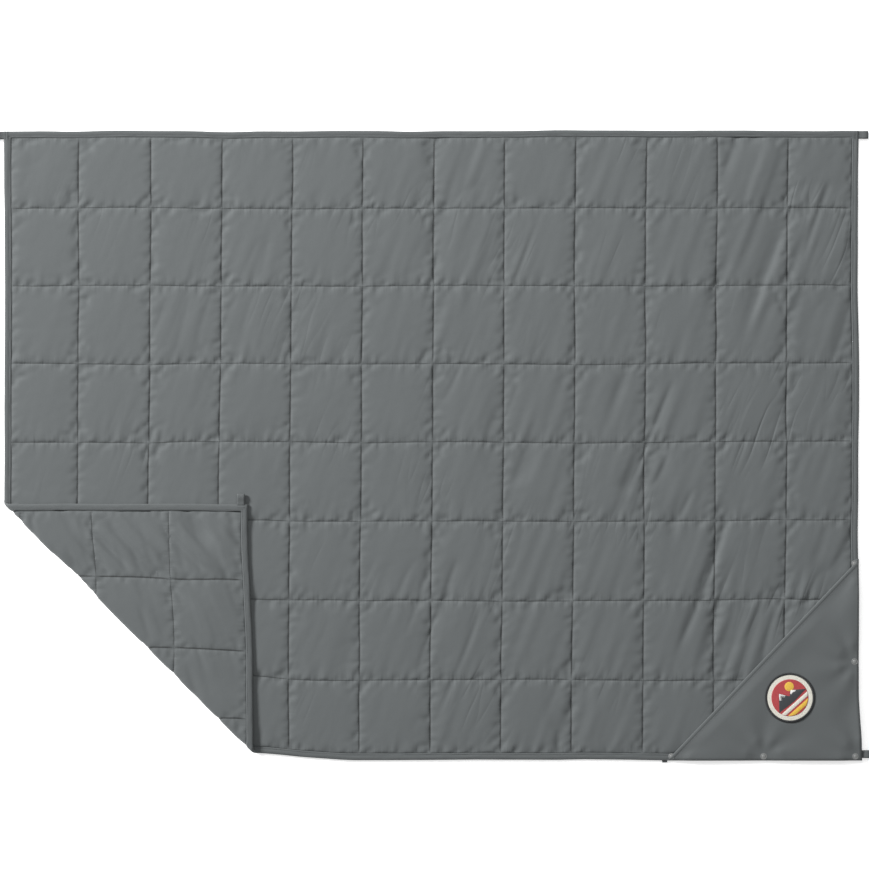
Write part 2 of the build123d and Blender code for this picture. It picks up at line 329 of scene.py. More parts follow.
@dataclass(frozen=True)
class QuiltCloth:
    """Brushed microfibre of the quilt, with fine puckers that run into the seams and painted shade along the
    seams.
    """

    name: str
    colour: tuple[float, float, float]
    roughness: float = 0.72
    weave: float = 1.1 * MM
    weave_relief: float = 0.04 * MM
    nap_relief: float = 0.1 * MM
    pucker: float = 1.9 * MM
    # Widths of the painted shade beside the column and row seams.
    column_shade: float = 2.5 * MM
    row_shade: float = 1.5 * MM
    crossing: float = 14 * MM
    crease: float = 1.0 * MM

    def shade(self, column: Value, row: Value) -> Value:
        """How deep a spot lies in a seam, as painted shade: the cloth's colour is darkened where shade falls
        in the seam, less so at the crossings.

        Args:
            column: Place across the cell, 0 to 1.
            row: Place along the cell, 0 to 1.

        Returns:
            Depth of the painted shade, 0 to 1.
        """
        from_column = column.least(1 - column) * COLUMN_PITCH
        from_row = row.least(1 - row) * ROW_PITCH
        in_column = (1 - from_column / self.column_shade).most(0) * (from_row / self.crossing).least(1)
        in_row = (1 - from_row / self.row_shade).most(0) * (from_column / self.crossing).least(1)
        return in_column.most(in_row * 0.85)

    def creases(self, shader: Shader, across: Value, along: Value) -> Value:
        """Thin slanting creases in patches, more of them towards the blanket's right.

        Args:
            shader: The shader to build in.
            across: Place along the blanket, counted in cells.
            along: Place across the blanket, counted in cells.

        Returns:
            Depth of the creases, 0 to about 1.
        """
        beside = (across * 0.85 - along * 0.34) * 5.2
        down = (across * 0.31 + along * 0.94) * 0.75
        line = shader.noise(shader.joined(beside, down), 1.0, 1.0)
        away = (line - 0.5).most(0.5 - line)
        sharp = (1 - away * 9).most(0).power(1.4)
        patches = ((shader.noise(shader.joined(across, along), 0.8, 1.0) - 0.52) * 4).most(0).least(1)
        return sharp * patches * (across * 0.065 + 0.3)

    def material(self) -> bpy.types.Material:
        """Build the cloth's material on the piece's flat layout, which counts cells.

        Returns:
            The material.
        """
        shader = Shader(self.name)
        cells = shader.on_layout()
        across, along, _ = shader.parts(cells)
        to_column = (across.fraction() - 0.5).power(2) * 4
        to_row = (along.fraction() - 0.5).power(2) * 4
        up_ridges = shader.noise(shader.stretched(cells, (17.0, 1.2, 1.0)), 1.0, 1.5)
        side_ridges = shader.noise(shader.stretched(cells, (1.2, 18.0, 1.0)), 1.0, 1.5)
        puckers = up_ridges * to_row.power(4) + side_ridges * to_column.power(5) * 0.6
        warp = (across * (COLUMN_PITCH / self.weave * math.tau)).sine()
        weft = (along * (ROW_PITCH / self.weave * math.tau)).sine()
        weave = warp * weft * 0.5
        nap = shader.noise(cells, 90.0, 3.0)
        cloud = shader.noise(cells, 1.7, 3.0)
        creases = self.creases(shader, across, along)
        relief = weave * self.weave_relief + nap * self.nap_relief
        height = puckers * self.pucker - creases * self.crease + relief
        tone = nap * 0.35 + cloud * 0.4 + weave * 0.05 + 0.12
        plain = shader.between(tone, tinted(self.colour, 0.93), tinted(self.colour, 1.08))
        # Painted shade: the cloth is darkened towards 0.22 of its colour along every seam and the binding's
        # inner edge, where shade falls in the groove.
        shade = self.shade(across.fraction(), along.fraction())
        base = shader.between(shade, plain, tinted(self.colour, 0.22))
        return shader.finish(
            Base_Color=base,
            Roughness=nap * 0.12 + (self.roughness - 0.06),
            Normal=shader.bump(height, 0.9),
            Sheen_Weight=0.18,
            Sheen_Roughness=0.45,
            Specular_IOR_Level=0.28,
        )


@dataclass(frozen=True)
class PlainCloth:
    """Smooth woven cloth or tape, on the object's own coordinates."""

    name: str
    colour: tuple[float, float, float]
    roughness: float = 0.68
    weave: float = 1.1 * MM
    relief: float = 0.05 * MM
    mottle: float = 0.07

    def material(self) -> bpy.types.Material:
        """Build the cloth's material.

        Returns:
            The material.
        """
        shader = Shader(self.name)
        place = shader.on_object()
        x, y, _ = shader.parts(place)
        threads = (x * (math.tau / self.weave)).sine() * (y * (math.tau / self.weave)).sine()
        nap = shader.noise(place, 620.0, 3.0)
        cloud = shader.noise(place, 9.0, 3.0)
        height = threads * self.relief + nap * self.relief * 2
        low = tinted(self.colour, 1 - self.mottle)
        high = tinted(self.colour, 1 + self.mottle)
        base = shader.between(nap * 0.5 + cloud * 0.5, low, high)
        return shader.finish(
            Base_Color=base,
            Roughness=nap * 0.12 + (self.roughness - 0.06),
            Normal=shader.bump(height, 0.8),
            Sheen_Weight=0.12,
            Specular_IOR_Level=0.28,
        )


@dataclass(frozen=True)
class SewingThread:
    """Twisted polyester thread."""

    name: str
    colour: tuple[float, float, float]
    twist: float = 0.6 * MM
    relief: float = 0.06 * MM

    def material(self) -> bpy.types.Material:
        """Build the thread's material, with its twist as slanting ridges.

        Returns:
            The material.
        """
        shader = Shader(self.name)
        place = shader.on_object()
        x, y, z = shader.parts(place)
        ridges = ((x + y + z) * (math.tau / self.twist)).sine()
        fuzz = shader.noise(place, 900.0, 2.0)
        base = shader.between(fuzz, tinted(self.colour, 0.8), tinted(self.colour, 1.25))
        normal = shader.bump(ridges * self.relief, 0.7)
        return shader.finish(Base_Color=base, Roughness=fuzz * 0.2 + 0.5, Normal=normal)


@dataclass(frozen=True)
class MouldedResin:
    """Matt moulded resin of the snaps, with a slightly worn crown."""

    name: str
    colour: tuple[float, float, float]
    grain_relief: float = 0.04 * MM
    scuff_relief: float = 0.05 * MM

    def material(self) -> bpy.types.Material:
        """Build the resin's material.

        Returns:
            The material.
        """
        shader = Shader(self.name)
        place = shader.on_object()
        grain = shader.noise(place, 1400.0, 2.0)
        scuff = shader.noise(place, 240.0, 4.0)
        base = shader.between(scuff, tinted(self.colour, 0.85), tinted(self.colour, 1.15))
        normal = shader.bump(grain * self.grain_relief + scuff * self.scuff_relief, 0.6)
        return shader.finish(Base_Color=base, Roughness=scuff * 0.3 + 0.3, Normal=normal)


@dataclass(frozen=True)
class Embroidery:
    """Satin stitch: close parallel threads that lean one way."""

    name: str
    colour: tuple[float, float, float]
    angle: float = 0.6
    thread: float = 0.7 * MM
    relief: float = 0.12 * MM

    def material(self) -> bpy.types.Material:
        """Build the embroidery's material.

        Returns:
            The material.
        """
        shader = Shader(self.name)
        place = shader.on_object()
        x, y, _ = shader.parts(place)
        across = x * math.cos(self.angle) + y * math.sin(self.angle)
        wobble = shader.noise(place, 260.0, 2.0)
        ridges = (across * (math.tau / self.thread) + wobble * 2.5).sine()
        # Painted shade and highlight: the colour follows the thread ridges, darker in the grooves between
        # threads and lighter on their crests.
        base = shader.between(ridges * 0.5 + 0.5, tinted(self.colour, 0.72), tinted(self.colour, 1.08))
        normal = shader.bump(ridges * self.relief, 0.8)
        return shader.finish(Base_Color=base, Roughness=wobble * 0.2 + 0.35, Normal=normal, Sheen_Weight=0.2)


@dataclass(frozen=True)
class StudioFloor:
    """Plain pale studio floor of a light table, lit faintly from below."""

    name: str
    colour: tuple[float, float, float]
    glow: float = 0.5

    def material(self) -> bpy.types.Material:
        """Build the floor's material.

        Returns:
            The material.
        """
        shader = Shader(self.name)
        faint = shader.noise(shader.on_object(), 3.0, 2.0)
        base = shader.between(faint, tinted(self.colour, 0.995), self.colour)
        return shader.finish(
            Base_Color=base,
            Roughness=0.9,
            Specular_IOR_Level=0.1,
            Emission_Color=(1, 1, 1, 1),
            Emission_Strength=self.glow,
        )


CLOTH = (0.0868, 0.0948, 0.0967)
MATERIALS: dict[str, bpy.types.Material] = {}


def stock_materials() -> None:
    """Make every finish once."""
    finishes = (
        QuiltCloth("quilt_cloth", CLOTH),
        PlainCloth("panel_cloth", tinted(CLOTH, 0.93)),
        PlainCloth("binding_tape", tinted(CLOTH, 0.88), 0.75, 1.4 * MM, 0.08 * MM),
        PlainCloth("loop_tape", tinted(CLOTH, 0.84), 0.78, 1.6 * MM, 0.12 * MM),
        # The quilting thread is darkened to 0.34 of the cloth's colour: the stitches are real, but their
        # darkness is partly painted shade of the seam groove.
        SewingThread("quilting_thread", tinted(CLOTH, 0.34)),
        SewingThread("edge_thread", tinted(CLOTH, 0.5)),
        MouldedResin("snap_resin", (0.165, 0.17, 0.168)),
        Embroidery("badge_ground", (0.70, 0.68, 0.60), 0.2),
        Embroidery("badge_sky", (0.42, 0.045, 0.05), 1.2),
        Embroidery("badge_sun", (0.75, 0.47, 0.06), 0.5),
        Embroidery("badge_peak", (0.035, 0.04, 0.045), 1.0),
        Embroidery("badge_snow", (0.80, 0.80, 0.78), 0.1),
        SewingThread("badge_rim", (0.02, 0.021, 0.023)),
        StudioFloor("studio_floor", (0.93, 0.93, 0.93)),
    )
    for finish in finishes:
        MATERIALS[finish.name] = finish.material()


# ---------------------------------------------------------------- mesh building


@dataclass
class Sheet:
    """Points, faces and flat layout of a mesh before it becomes an object."""

    points: np.ndarray
    faces: list
    layout: np.ndarray
    normals: np.ndarray | None = None


def make_object(name: str, sheet: Sheet, material: str) -> bpy.types.Object:
    """Turn points and faces into a smooth-shaded object.

    Args:
        name: The piece's name.
        sheet: Its points, faces and layout.
        material: Which finish it wears.

    Returns:
        The object, linked to the scene.
    """
    mesh = bpy.data.meshes.new(name)
    mesh.from_pydata(sheet.points.tolist(), [], sheet.faces)
    mesh.polygons.foreach_set("use_smooth", np.ones(len(mesh.polygons), bool))
    corners = np.zeros(len(mesh.loops), np.int32)
    mesh.loops.foreach_get("vertex_index", corners)
    uv = mesh.uv_layers.new(name="layout")
    uv.data.foreach_set("uv", sheet.layout[corners].astype(np.float32).ravel())
    mesh.materials.append(MATERIALS[material])
    mesh.update()
    if sheet.normals is not None:
        mesh.normals_split_custom_set_from_vertices(sheet.normals.tolist())
    return linked(name, mesh)


def linked(name: str, data: bpy.types.ID | None) -> bpy.types.Object:
    """Put an object that holds some data in the scene.

    Args:
        name: The object's name.
        data: Its mesh, curve, light or camera.

    Returns:
        The object.
    """
    item = bpy.data.objects.new(name, data)
    bpy.context.scene.collection.objects.link(item)
    return item


def applied(carrier: bpy.types.Object) -> bpy.types.Mesh:
    """The plain mesh of an object, with its modifiers or its curve's bevel applied."""
    evaluated = carrier.evaluated_get(bpy.context.evaluated_depsgraph_get())
    return bpy.data.meshes.new_from_object(evaluated)


def grid_faces(columns: int, rows: int) -> np.ndarray:
    """Quads between the points of a grid, which are numbered row by row within each column.

    Args:
        columns: Columns of points.
        rows: Rows of points.

    Returns:
        The quads, n by 4.
    """
    index = np.arange(columns * rows).reshape(columns, rows)
    return np.stack([index[:-1, :-1], index[1:, :-1], index[1:, 1:], index[:-1, 1:]], -1).reshape(-1, 4)


def shell(upper: np.ndarray, lower: np.ndarray, layout: np.ndarray, walls: str) -> Sheet:
    """Close two grids of points into one shell.

    Args:
        upper: Points of the upper surface, columns by rows by 3.
        lower: Points of the lower surface, the same shape.
        layout: Flat layout of both, columns by rows by 2.
        walls: Which sides to close: any of the letters l, r, b and t.

    Returns:
        The shell, facing outwards.
    """
    columns, rows = upper.shape[:2]
    count = columns * rows
    index = np.arange(count).reshape(columns, rows)
    quads = grid_faces(columns, rows)
    faces = [quads, quads[:, ::-1] + count]
    edges = {"l": index[0, ::-1], "r": index[-1], "b": index[:, 0], "t": index[::-1, -1]}
    for side in walls:
        line = edges[side]
        wall = np.stack([line[:-1], line[:-1] + count, line[1:] + count, line[1:]], -1)
        faces.append(wall)
    points = np.concatenate([upper.reshape(-1, 3), lower.reshape(-1, 3)])
    flat = np.concatenate([layout.reshape(-1, 2), layout.reshape(-1, 2)])
    return Sheet(points, np.concatenate(faces).tolist(), flat)


def vertex_normals(sheet: Sheet) -> np.ndarray:
    """Smooth normals of a whole surface, before it is cut in pieces.

    Args:
        sheet: The whole surface.

    Returns:
        A normal for each point.
    """
    mesh = bpy.data.meshes.new("whole")
    mesh.from_pydata(sheet.points.tolist(), [], sheet.faces)
    mesh.update()
    normals = np.zeros(len(mesh.vertices) * 3, np.float32)
    mesh.vertex_normals.foreach_get("vector", normals)
    bpy.data.meshes.remove(mesh)
    return normals.reshape(-1, 3)


def subset(sheet: Sheet, chosen: np.ndarray) -> Sheet:
    """Keep some of a sheet's faces, with the points that they use.

    Args:
        sheet: The whole.
        chosen: True for each face to keep.

    Returns:
        The part, with the whole's normals.
    """
    faces = [face for face, keep in zip(sheet.faces, chosen) if keep]
    used = np.zeros(len(sheet.points), bool)
    used[np.concatenate([np.asarray(face) for face in faces])] = True
    number = np.cumsum(used) - 1
    return Sheet(
        sheet.points[used],
        [[int(number[i]) for i in face] for face in faces],
        sheet.layout[used],
        sheet.normals[used],
    )


def face_centres(sheet: Sheet) -> np.ndarray:
    """The mean point of every face.

    Args:
        sheet: The sheet.

    Returns:
        Points, one for each face.
    """
    sizes = np.array([len(face) for face in sheet.faces])
    flat = np.concatenate([np.asarray(face) for face in sheet.faces])
    sums = np.add.reduceat(sheet.points[flat], np.concatenate([[0], np.cumsum(sizes)[:-1]]))
    return sums / sizes[:, None]


# ---------------------------------------------------------------- flat plan of the blanket


@dataclass(frozen=True)
class Plan:
    """The blanket laid flat: its edges, its seams, and how the cloth wanders off the straight."""

    half_length: float
    half_width: float
    binding: float
    columns: int = 12
    rows: int = 8
    wander: float = 1.7 * MM
    slack: float = 15 * MM
    slack_reach: float = 420 * MM
    slack_width: float = 240 * MM
    slack_top: float = 380 * MM
    slack_fade: float = 200 * MM
    flare: float = 7 * MM
    flare_width: float = 160 * MM
    flare_height: float = 150 * MM
    bow: float = 7.2 * MM
    lean_up: float = 5 * MM
    lean_along: float = 2.5 * MM
    split: float = 28 * MM

    @classmethod
    def from_frame(cls) -> "Plan":
        """Read the blanket's edges from its bound sides.

        Returns:
            The plan.
        """
        inner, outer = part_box("binding_right_right")
        return cls(outer.x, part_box("binding_right_top")[1].y, outer.x - inner.x)

    def column_seams(self) -> np.ndarray:
        """Columns' edges from left to right, bound edges included."""
        inner = (np.arange(1, self.columns) - self.columns / 2) * COLUMN_PITCH
        return np.concatenate([[self.binding - self.half_length], inner, [self.half_length - self.binding]])

    def row_seams(self) -> np.ndarray:
        """Rows' edges from bottom to top, bound edges included."""
        inner = (np.arange(1, self.rows) - self.rows / 2) * ROW_PITCH
        return np.concatenate([[self.binding - self.half_width], inner, [self.half_width - self.binding]])

    def settle(self, x: np.ndarray, y: np.ndarray) -> tuple[np.ndarray, np.ndarray]:
        """Move points of the straight plan to where the cloth really lies.

        Args:
            x: Straight positions along the blanket.
            y: Straight positions across the blanket.

        Returns:
            The settled positions, x and y.
        """
        drift, creep = SoftNoise(SEED), SoftNoise(SEED + 1)
        moved_x = x + self.wander * (drift.at(x, y, 0.21) + 0.6 * drift.at(x + 3, y, 0.083))
        moved_y = y + self.wander * (creep.at(x, y, 0.23) + 0.6 * creep.at(x + 3, y, 0.077))
        u, v = x + self.half_length, y + self.half_width
        start = self.slack_reach - 0.5 * (v - ROW_PITCH)
        beside_fold = 1 - smooth_step((u - start) / self.slack_width)
        raised = beside_fold * (1 - smooth_step((v - self.slack_top) / self.slack_fade))
        bowed = np.sin(np.pi * np.clip(v / (2 * self.half_width), 0, 1)) * (1 - raised)
        bowed = bowed * (1 + 0.3 * smooth_step((x - 0.4) / 0.35))
        leaning = self.lean_up * y / self.half_width - self.lean_along * x / self.half_length + 1 * MM
        leaning = leaning * np.clip(1 - abs(x / self.half_length) ** 8, 0, 1) * (1 - raised)
        return moved_x + leaning + self.flared(x, y), moved_y + self.slack * raised + self.bow * bowed

    def flared(self, x: np.ndarray, y: np.ndarray) -> np.ndarray:
        """How far the bottom right corner is pulled outwards along the blanket."""
        near = smooth_step((x - self.half_length + self.flare_width) / self.flare_width)
        return self.flare * near * (1 - smooth_step((y + self.half_width) / self.flare_height))


@dataclass(frozen=True)
class Fold:
    """The folded corner: where a flat point goes when the corner is folded over."""

    corner: tuple[float, float]
    leg: float
    axis_z: float
    middle_z: float
    lean: float = 12 * MM
    lean_from: float = 200 * MM
    lean_width: float = 300 * MM
    drop: float = 7 * MM
    drop_length: float = 505 * MM
    drop_top: float = 420 * MM
    sink: float = 3.4 * MM
    sink_top: float = 430 * MM
    sink_side: float = 420 * MM
    ease: float = 100 * MM
    side_ease: float = 90 * MM
    settle_width: float = 150 * MM
    bend_steps: int = 9

    @classmethod
    def from_frame(cls, plan: Plan) -> "Fold":
        """Read the fold's line and height from its joint.

        Args:
            plan: The flat blanket.

        Returns:
            The fold.
        """
        x, y, z = next(joint["pos_m"] for joint in frame["joints"] if joint["name"] == "corner_fold")
        long, wide = plan.half_length, plan.half_width
        return cls((-long, -wide), x + y + long + wide, z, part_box("face_cloth_right")[1].z / 2)

    @property
    def radius(self) -> float:
        """Radius that the middle of the quilt bends to."""
        return self.axis_z - self.middle_z

    @property
    def bend(self) -> float:
        """Length of quilt that goes round the bend."""
        return math.pi * self.radius

    def distance(self, points: np.ndarray) -> np.ndarray:
        """Distance from the fold's axis, positive on the blanket's side."""
        sums = points[:, 0] - self.corner[0] + points[:, 1] - self.corner[1]
        return (sums - self.leg) / math.sqrt(2)

    def place(self, points: np.ndarray) -> np.ndarray:
        """Fold the corner over.

        Args:
            points: Points of the flat blanket, n by 3.

        Returns:
            Their places with the corner folded.
        """
        inward = np.array([1.0, 1.0]) / math.sqrt(2)
        away = self.distance(points)
        foot = points[:, :2] - away[:, None] * inward
        rise = points[:, 2] - self.middle_z
        reach = self.radius - rise
        turn = np.clip(-away / self.radius, 0, math.pi)
        beyond = np.maximum(-away - self.bend, 0)
        ahead = np.where(away >= 0, away, -reach * np.sin(turn) + beyond)
        height = np.where(away >= 0, points[:, 2], self.axis_z - reach * np.cos(turn))
        placed = np.column_stack([foot + ahead[:, None] * inward, height])
        return self._lie(placed, beyond)

    def _lie(self, placed: np.ndarray, beyond: np.ndarray) -> np.ndarray:
        """Let the folded layer lean and settle as loose cloth does, away from the bend.

        Args:
            placed: Points with the corner folded.
            beyond: How far each lies past the bend.

        Returns:
            The settled points.
        """
        free = smooth_step(beyond / self.settle_width)
        u = placed[:, 0] - self.corner[0]
        v = placed[:, 1] - self.corner[1]
        lean = self.lean * smooth_step((v - self.lean_from) / self.lean_width) * free
        drop = self.drop * u / self.drop_length * free * (1 - smooth_step((v - self.drop_top) / self.ease))
        placed[:, 0] -= lean
        placed[:, 1] -= drop
        top_edge = smooth_step((v - self.sink_top) / self.ease)
        side_edge = smooth_step((u - self.sink_side) / self.side_ease)
        placed[:, 2] -= self.sink * np.maximum(top_edge, side_edge) * free
        return placed


# ---------------------------------------------------------------- the quilt


@dataclass
class Loft:
    """Cloth simulation of the quilt's face: a sheet held down along every seam and lifted by its filling."""

    plan: Plan
    per_column: int = 16
    per_row: int = 18
    excess: float = 0.016
    lift: float = 3.0
    frames: int = 24
    jitter: float = 0.5 * MM
    drawn_height: float = 10.5 * MM

    def ticks(self, seams: np.ndarray, count: int) -> np.ndarray:
        """Even positions inside each cell."""
        parts = [np.linspace(a, b, count, endpoint=False) for a, b in zip(seams[:-1], seams[1:])]
        return np.concatenate([*parts, seams[-1:]])

    def heights(self) -> np.ndarray:
        """Run the simulation.

        Returns:
            Heights above the seams, columns by rows.
        """
        xs = self.ticks(self.plan.column_seams(), self.per_column)
        ys = self.ticks(self.plan.row_seams(), self.per_row)
        x, y = np.meshgrid(xs, ys, indexing="ij")
        i, j = np.meshgrid(np.arange(len(xs)), np.arange(len(ys)), indexing="ij")
        held = (i % self.per_column == 0) | (j % self.per_row == 0)
        z = self.jitter * np.random.default_rng(SEED).standard_normal(x.shape)
        z[held] = 0
        points = np.stack([x, y, z], -1).reshape(-1, 3)
        sheet = Sheet(points, grid_faces(*x.shape).tolist(), points[:, :2])
        cloth = make_object("loft_simulation", sheet, "quilt_cloth")
        group = cloth.vertex_groups.new(name="seams")
        group.add(np.flatnonzero(held.ravel()).tolist(), 1.0, "REPLACE")
        self._simulate(cloth)
        evaluated = cloth.evaluated_get(bpy.context.evaluated_depsgraph_get())
        lifted = np.zeros(x.size * 3, np.float32)
        evaluated.data.vertices.foreach_get("co", lifted)
        bpy.data.objects.remove(cloth)
        return lifted.reshape(*x.shape, 3)[..., 2].astype(float)

    def _simulate(self, cloth: bpy.types.Object) -> None:
        """Step the cloth through its frames, lifted by a reversed gravity.

        Args:
            cloth: The flat sheet, with its held points in the group "seams".
        """
        modifier = cloth.modifiers.new("loft", "CLOTH")
        settings = modifier.settings
        settings.quality = 4
        settings.mass = 0.05
        settings.tension_stiffness = 20
        settings.compression_stiffness = 20
        settings.shear_stiffness = 8
        settings.bending_stiffness = 0.02
        settings.air_damping = 3
        settings.vertex_group_mass = "seams"
        settings.shrink_min = -self.excess
        modifier.collision_settings.use_collision = False
        modifier.point_cache.frame_end = self.frames
        scene = bpy.context.scene
        scene.gravity = (0, 0, self.lift)
        for step in range(1, self.frames + 1):
            scene.frame_set(step)


def cell_ticks(seams: np.ndarray, spacing: float, near: Sequence[float]) -> tuple[np.ndarray, np.ndarray]:
    """Positions across every cell, close together beside the seams.

    Args:
        seams: Edges of the cells.
        spacing: Spacing in the middle of a cell.
        near: Distances from a seam of the closest positions.

    Returns:
        The positions, and the same counted in cells.
    """
    near = np.asarray(near)
    places, cells = [], []
    for number, (a, b) in enumerate(zip(seams[:-1], seams[1:])):
        width = b - a
        count = round((width - 2 * near[-1]) / spacing) + 1
        middle = np.linspace(near[-1], width - near[-1], count)
        steps = np.concatenate([near[:-1], middle, width - near[-2:0:-1]])
        places.append(a + steps)
        cells.append(number + steps / width)
    places.append(seams[-1:])
    cells.append([len(seams) - 1.0])
    return np.concatenate(places), np.concatenate(cells)


def refine(cells: np.ndarray, count: int, per_cell: int) -> np.ndarray:
    """Weights that carry even samples in each cell to finer positions, with a crease at every seam.

    Args:
        cells: Fine positions, counted in cells.
        count: Number of cells.
        per_cell: Samples in a cell.

    Returns:
        A matrix, fine positions by samples.
    """
    weights = np.zeros((len(cells), count * per_cell + 1))
    for row, place in enumerate(cells):
        cell = min(int(place), count - 1)
        at = (place - cell) * per_cell
        i = min(int(at), per_cell - 1)
        t = at - i
        base = cell * per_cell + i
        lower, upper = (base - 1 if i > 0 else base), (base + 2 if i < per_cell - 1 else base + 1)
        ease_in, ease_out = t**3 - 2 * t**2 + t, t**3 - t**2
        weights[row, base] += 2 * t**3 - 3 * t**2 + 1
        weights[row, base + 1] += 3 * t**2 - 2 * t**3
        for index, sign in ((base + 1, 1), (lower, -1)):
            weights[row, index] += sign * ease_in / (base + 1 - lower)
        for index, sign in ((upper, 1), (base, -1)):
            weights[row, index] += sign * ease_out / (upper - base)
    return weights


@dataclass
class Quilt:
    """The quilted body: its two cloths, shaped by the simulation, cut at the folds."""

    plan: Plan
    fold: Fold
    top_z: float
    spacing: float = 4.7 * MM
    near: tuple[float, ...] = (0, 1.3 * MM, 3.0 * MM, 5.4 * MM, 8.6 * MM)
    seam_face_z: float = 5.9 * MM
    seam_back_z: float = 2.8 * MM
    steepness: float = 1.15 * MM
    full_height: float = 11 * MM
    crown_share: float = 0.3
    drape: float = 1.6 * MM
    crease: float = 3.0 * MM
    gather: float = 1.3 * MM
    ruck: float = 5.0 * MM
    clearance: float = 0.4 * MM
    fill: float = 0.3

    def build(self) -> None:
        """Work out every point of the flat quilt and make its pieces."""
        plan = self.plan
        xs, across = cell_ticks(plan.column_seams(), self.spacing, self.near)
        ys, along = cell_ticks(plan.row_seams(), self.spacing, self.near)
        loft = Loft(plan)
        raw = np.maximum(loft.heights(), 0)
        to_columns = refine(across, plan.columns, loft.per_column)
        to_rows = refine(along, plan.rows, loft.per_row)
        x, y = np.meshgrid(xs, ys, indexing="ij")
        moved_x, moved_y = plan.settle(x, y)
        rise = self.top_z - self.seam_face_z - self.clearance
        lofted = self.pillow(to_columns @ raw @ to_rows.T, rise)
        face = self.seam_face_z + lofted + self.swell(x, y) + self.gathers(x, y, along)
        back_rise = self.pillow(to_columns @ raw[::-1, ::-1] @ to_rows.T, self.seam_back_z)
        back = np.maximum(self.seam_back_z - back_rise, 0) + self.rucks(x, y)
        layout = np.stack(np.meshgrid(across, along, indexing="ij"), -1)
        upper = np.stack([moved_x, moved_y, face], -1)
        lower = np.stack([moved_x, moved_y, back], -1)
        whole = shell(upper, lower, layout, "lrbt")
        whole.normals = vertex_normals(whole)
        self._divide(whole, xs)

    def pillow(self, raw: np.ndarray, rise: float) -> np.ndarray:
        """Flatten the simulated pillows' crowns and keep their steep, puckered edges.

        Args:
            raw: Simulated heights.
            rise: Height of the finished crowns.

        Returns:
            Finished heights.
        """
        raw = np.maximum(raw, 0)
        steep = 1 - np.exp(-raw / self.steepness)
        crown = np.minimum(raw / self.full_height, 1.2)
        return rise * ((1 - self.crown_share) * steep + self.crown_share * crown)

    def swell(self, x: np.ndarray, y: np.ndarray) -> np.ndarray:
        """Low slanting folds in the cloth with a few sharp creases, stronger towards the right.

        Args:
            x: Positions along the blanket.
            y: Positions across the blanket.

        Returns:
            Heights to add.
        """
        slant, patch = SoftNoise(SEED + 2), SoftNoise(SEED + 3)
        across, along = 0.94 * x - 0.34 * y, 0.34 * x + 0.94 * y
        share = 0.3 + 0.7 * smooth_step((x + 0.25) / 0.6)
        folds = slant.at(across, along * 0.13, 0.017)
        lines = np.clip(1 - abs(slant.at(across + 7, along * 0.16, 0.042)), 0, 1) ** 4
        patches = smooth_step(0.25 + 1.6 * patch.at(x, y, 0.13))
        return share * (self.drape * folds * (0.4 + 0.6 * patches) - self.crease * patches * lines)

    def gathers(self, x: np.ndarray, y: np.ndarray, along: np.ndarray) -> np.ndarray:
        """Short slanting gathers that rise out of the cross seams.

        Args:
            x: Positions along the blanket.
            y: Positions across the blanket.
            along: The same rows counted in cells.

        Returns:
            Heights to add, none on the seams themselves.
        """
        ridges = SoftNoise(SEED + 6).at(0.97 * x - 0.24 * y, 0.24 * x * 0.2 + 0.2 * y, 0.0105)
        within = along - np.floor(along)
        reach = np.maximum(np.exp(-within / 0.16), 0.6 * np.exp(-(1 - within) / 0.12))
        off_seam = smooth_step(np.minimum(within, 1 - within) / 0.03)
        return self.gather * ridges * (reach * off_seam)[None]

    def rucks(self, x: np.ndarray, y: np.ndarray) -> np.ndarray:
        """Hollows in the back cloth: faint all over, deep and slanting where the corner turns over.

        Args:
            x: Positions along the blanket.
            y: Positions across the blanket.

        Returns:
            Heights to add to the back.
        """
        slant = SoftNoise(SEED + 4)
        u, v = x + self.plan.half_length, y + self.plan.half_width
        near = (1 - smooth_step((u - 0.12) / 0.1)) * (1 - smooth_step((v - 0.5) / 0.1))
        across, along = (u + v) / 1.414, (u - v) / 1.414
        deep = np.maximum(slant.at(across, along * 0.17, 0.019), 0) ** 1.5
        faint = np.maximum(slant.at(u * 0.25 + 5, v + 0.3 * u, 0.016), 0)
        return self.ruck * near * deep + 0.28 * self.ruck * faint

    def _divide(self, whole: Sheet, xs: np.ndarray) -> None:
        """Cut the quilt at the half fold and at the folded corner, and put its pieces on their bodies.

        Args:
            whole: The flat quilt.
            xs: Places of its points along the blanket.
        """
        right_of_middle = xs[xs > 0]
        split = right_of_middle[np.argmin(abs(right_of_middle - self.plan.split))] / COLUMN_PITCH
        middle = self.plan.columns / 2
        at = face_layouts(whole)
        nodes = ("face_cloth_{}", "back_cloth_{}", "filling_{}")
        parts = {
            Region.RIGHT: subset(whole, at > middle + split),
            Region.MIDDLE: subset(whole, (at < middle + split) & (at > middle - split)),
        }
        parts.update(fold_apart(subset(whole, at < middle - split), self.fold))
        stood_for = {
            Region.RIGHT: [node.format("right") for node in nodes],
            Region.MIDDLE: [],
            Region.LEFT: [node.format("left") for node in nodes],
            Region.BEND: ["fold_bend"],
            Region.FOLDED: [node.format("corner") for node in nodes],
        }
        for region, part in parts.items():
            piece = make_object(f"quilt_{region.value}", part, "quilt_cloth")
            dress(piece, region, stood_for[region])


def face_layouts(sheet: Sheet) -> np.ndarray:
    """Mean layout position along the blanket of every face."""
    flat = Sheet(np.column_stack([sheet.layout, np.zeros(len(sheet.layout))]), sheet.faces, sheet.layout)
    return face_centres(flat)[:, 0]


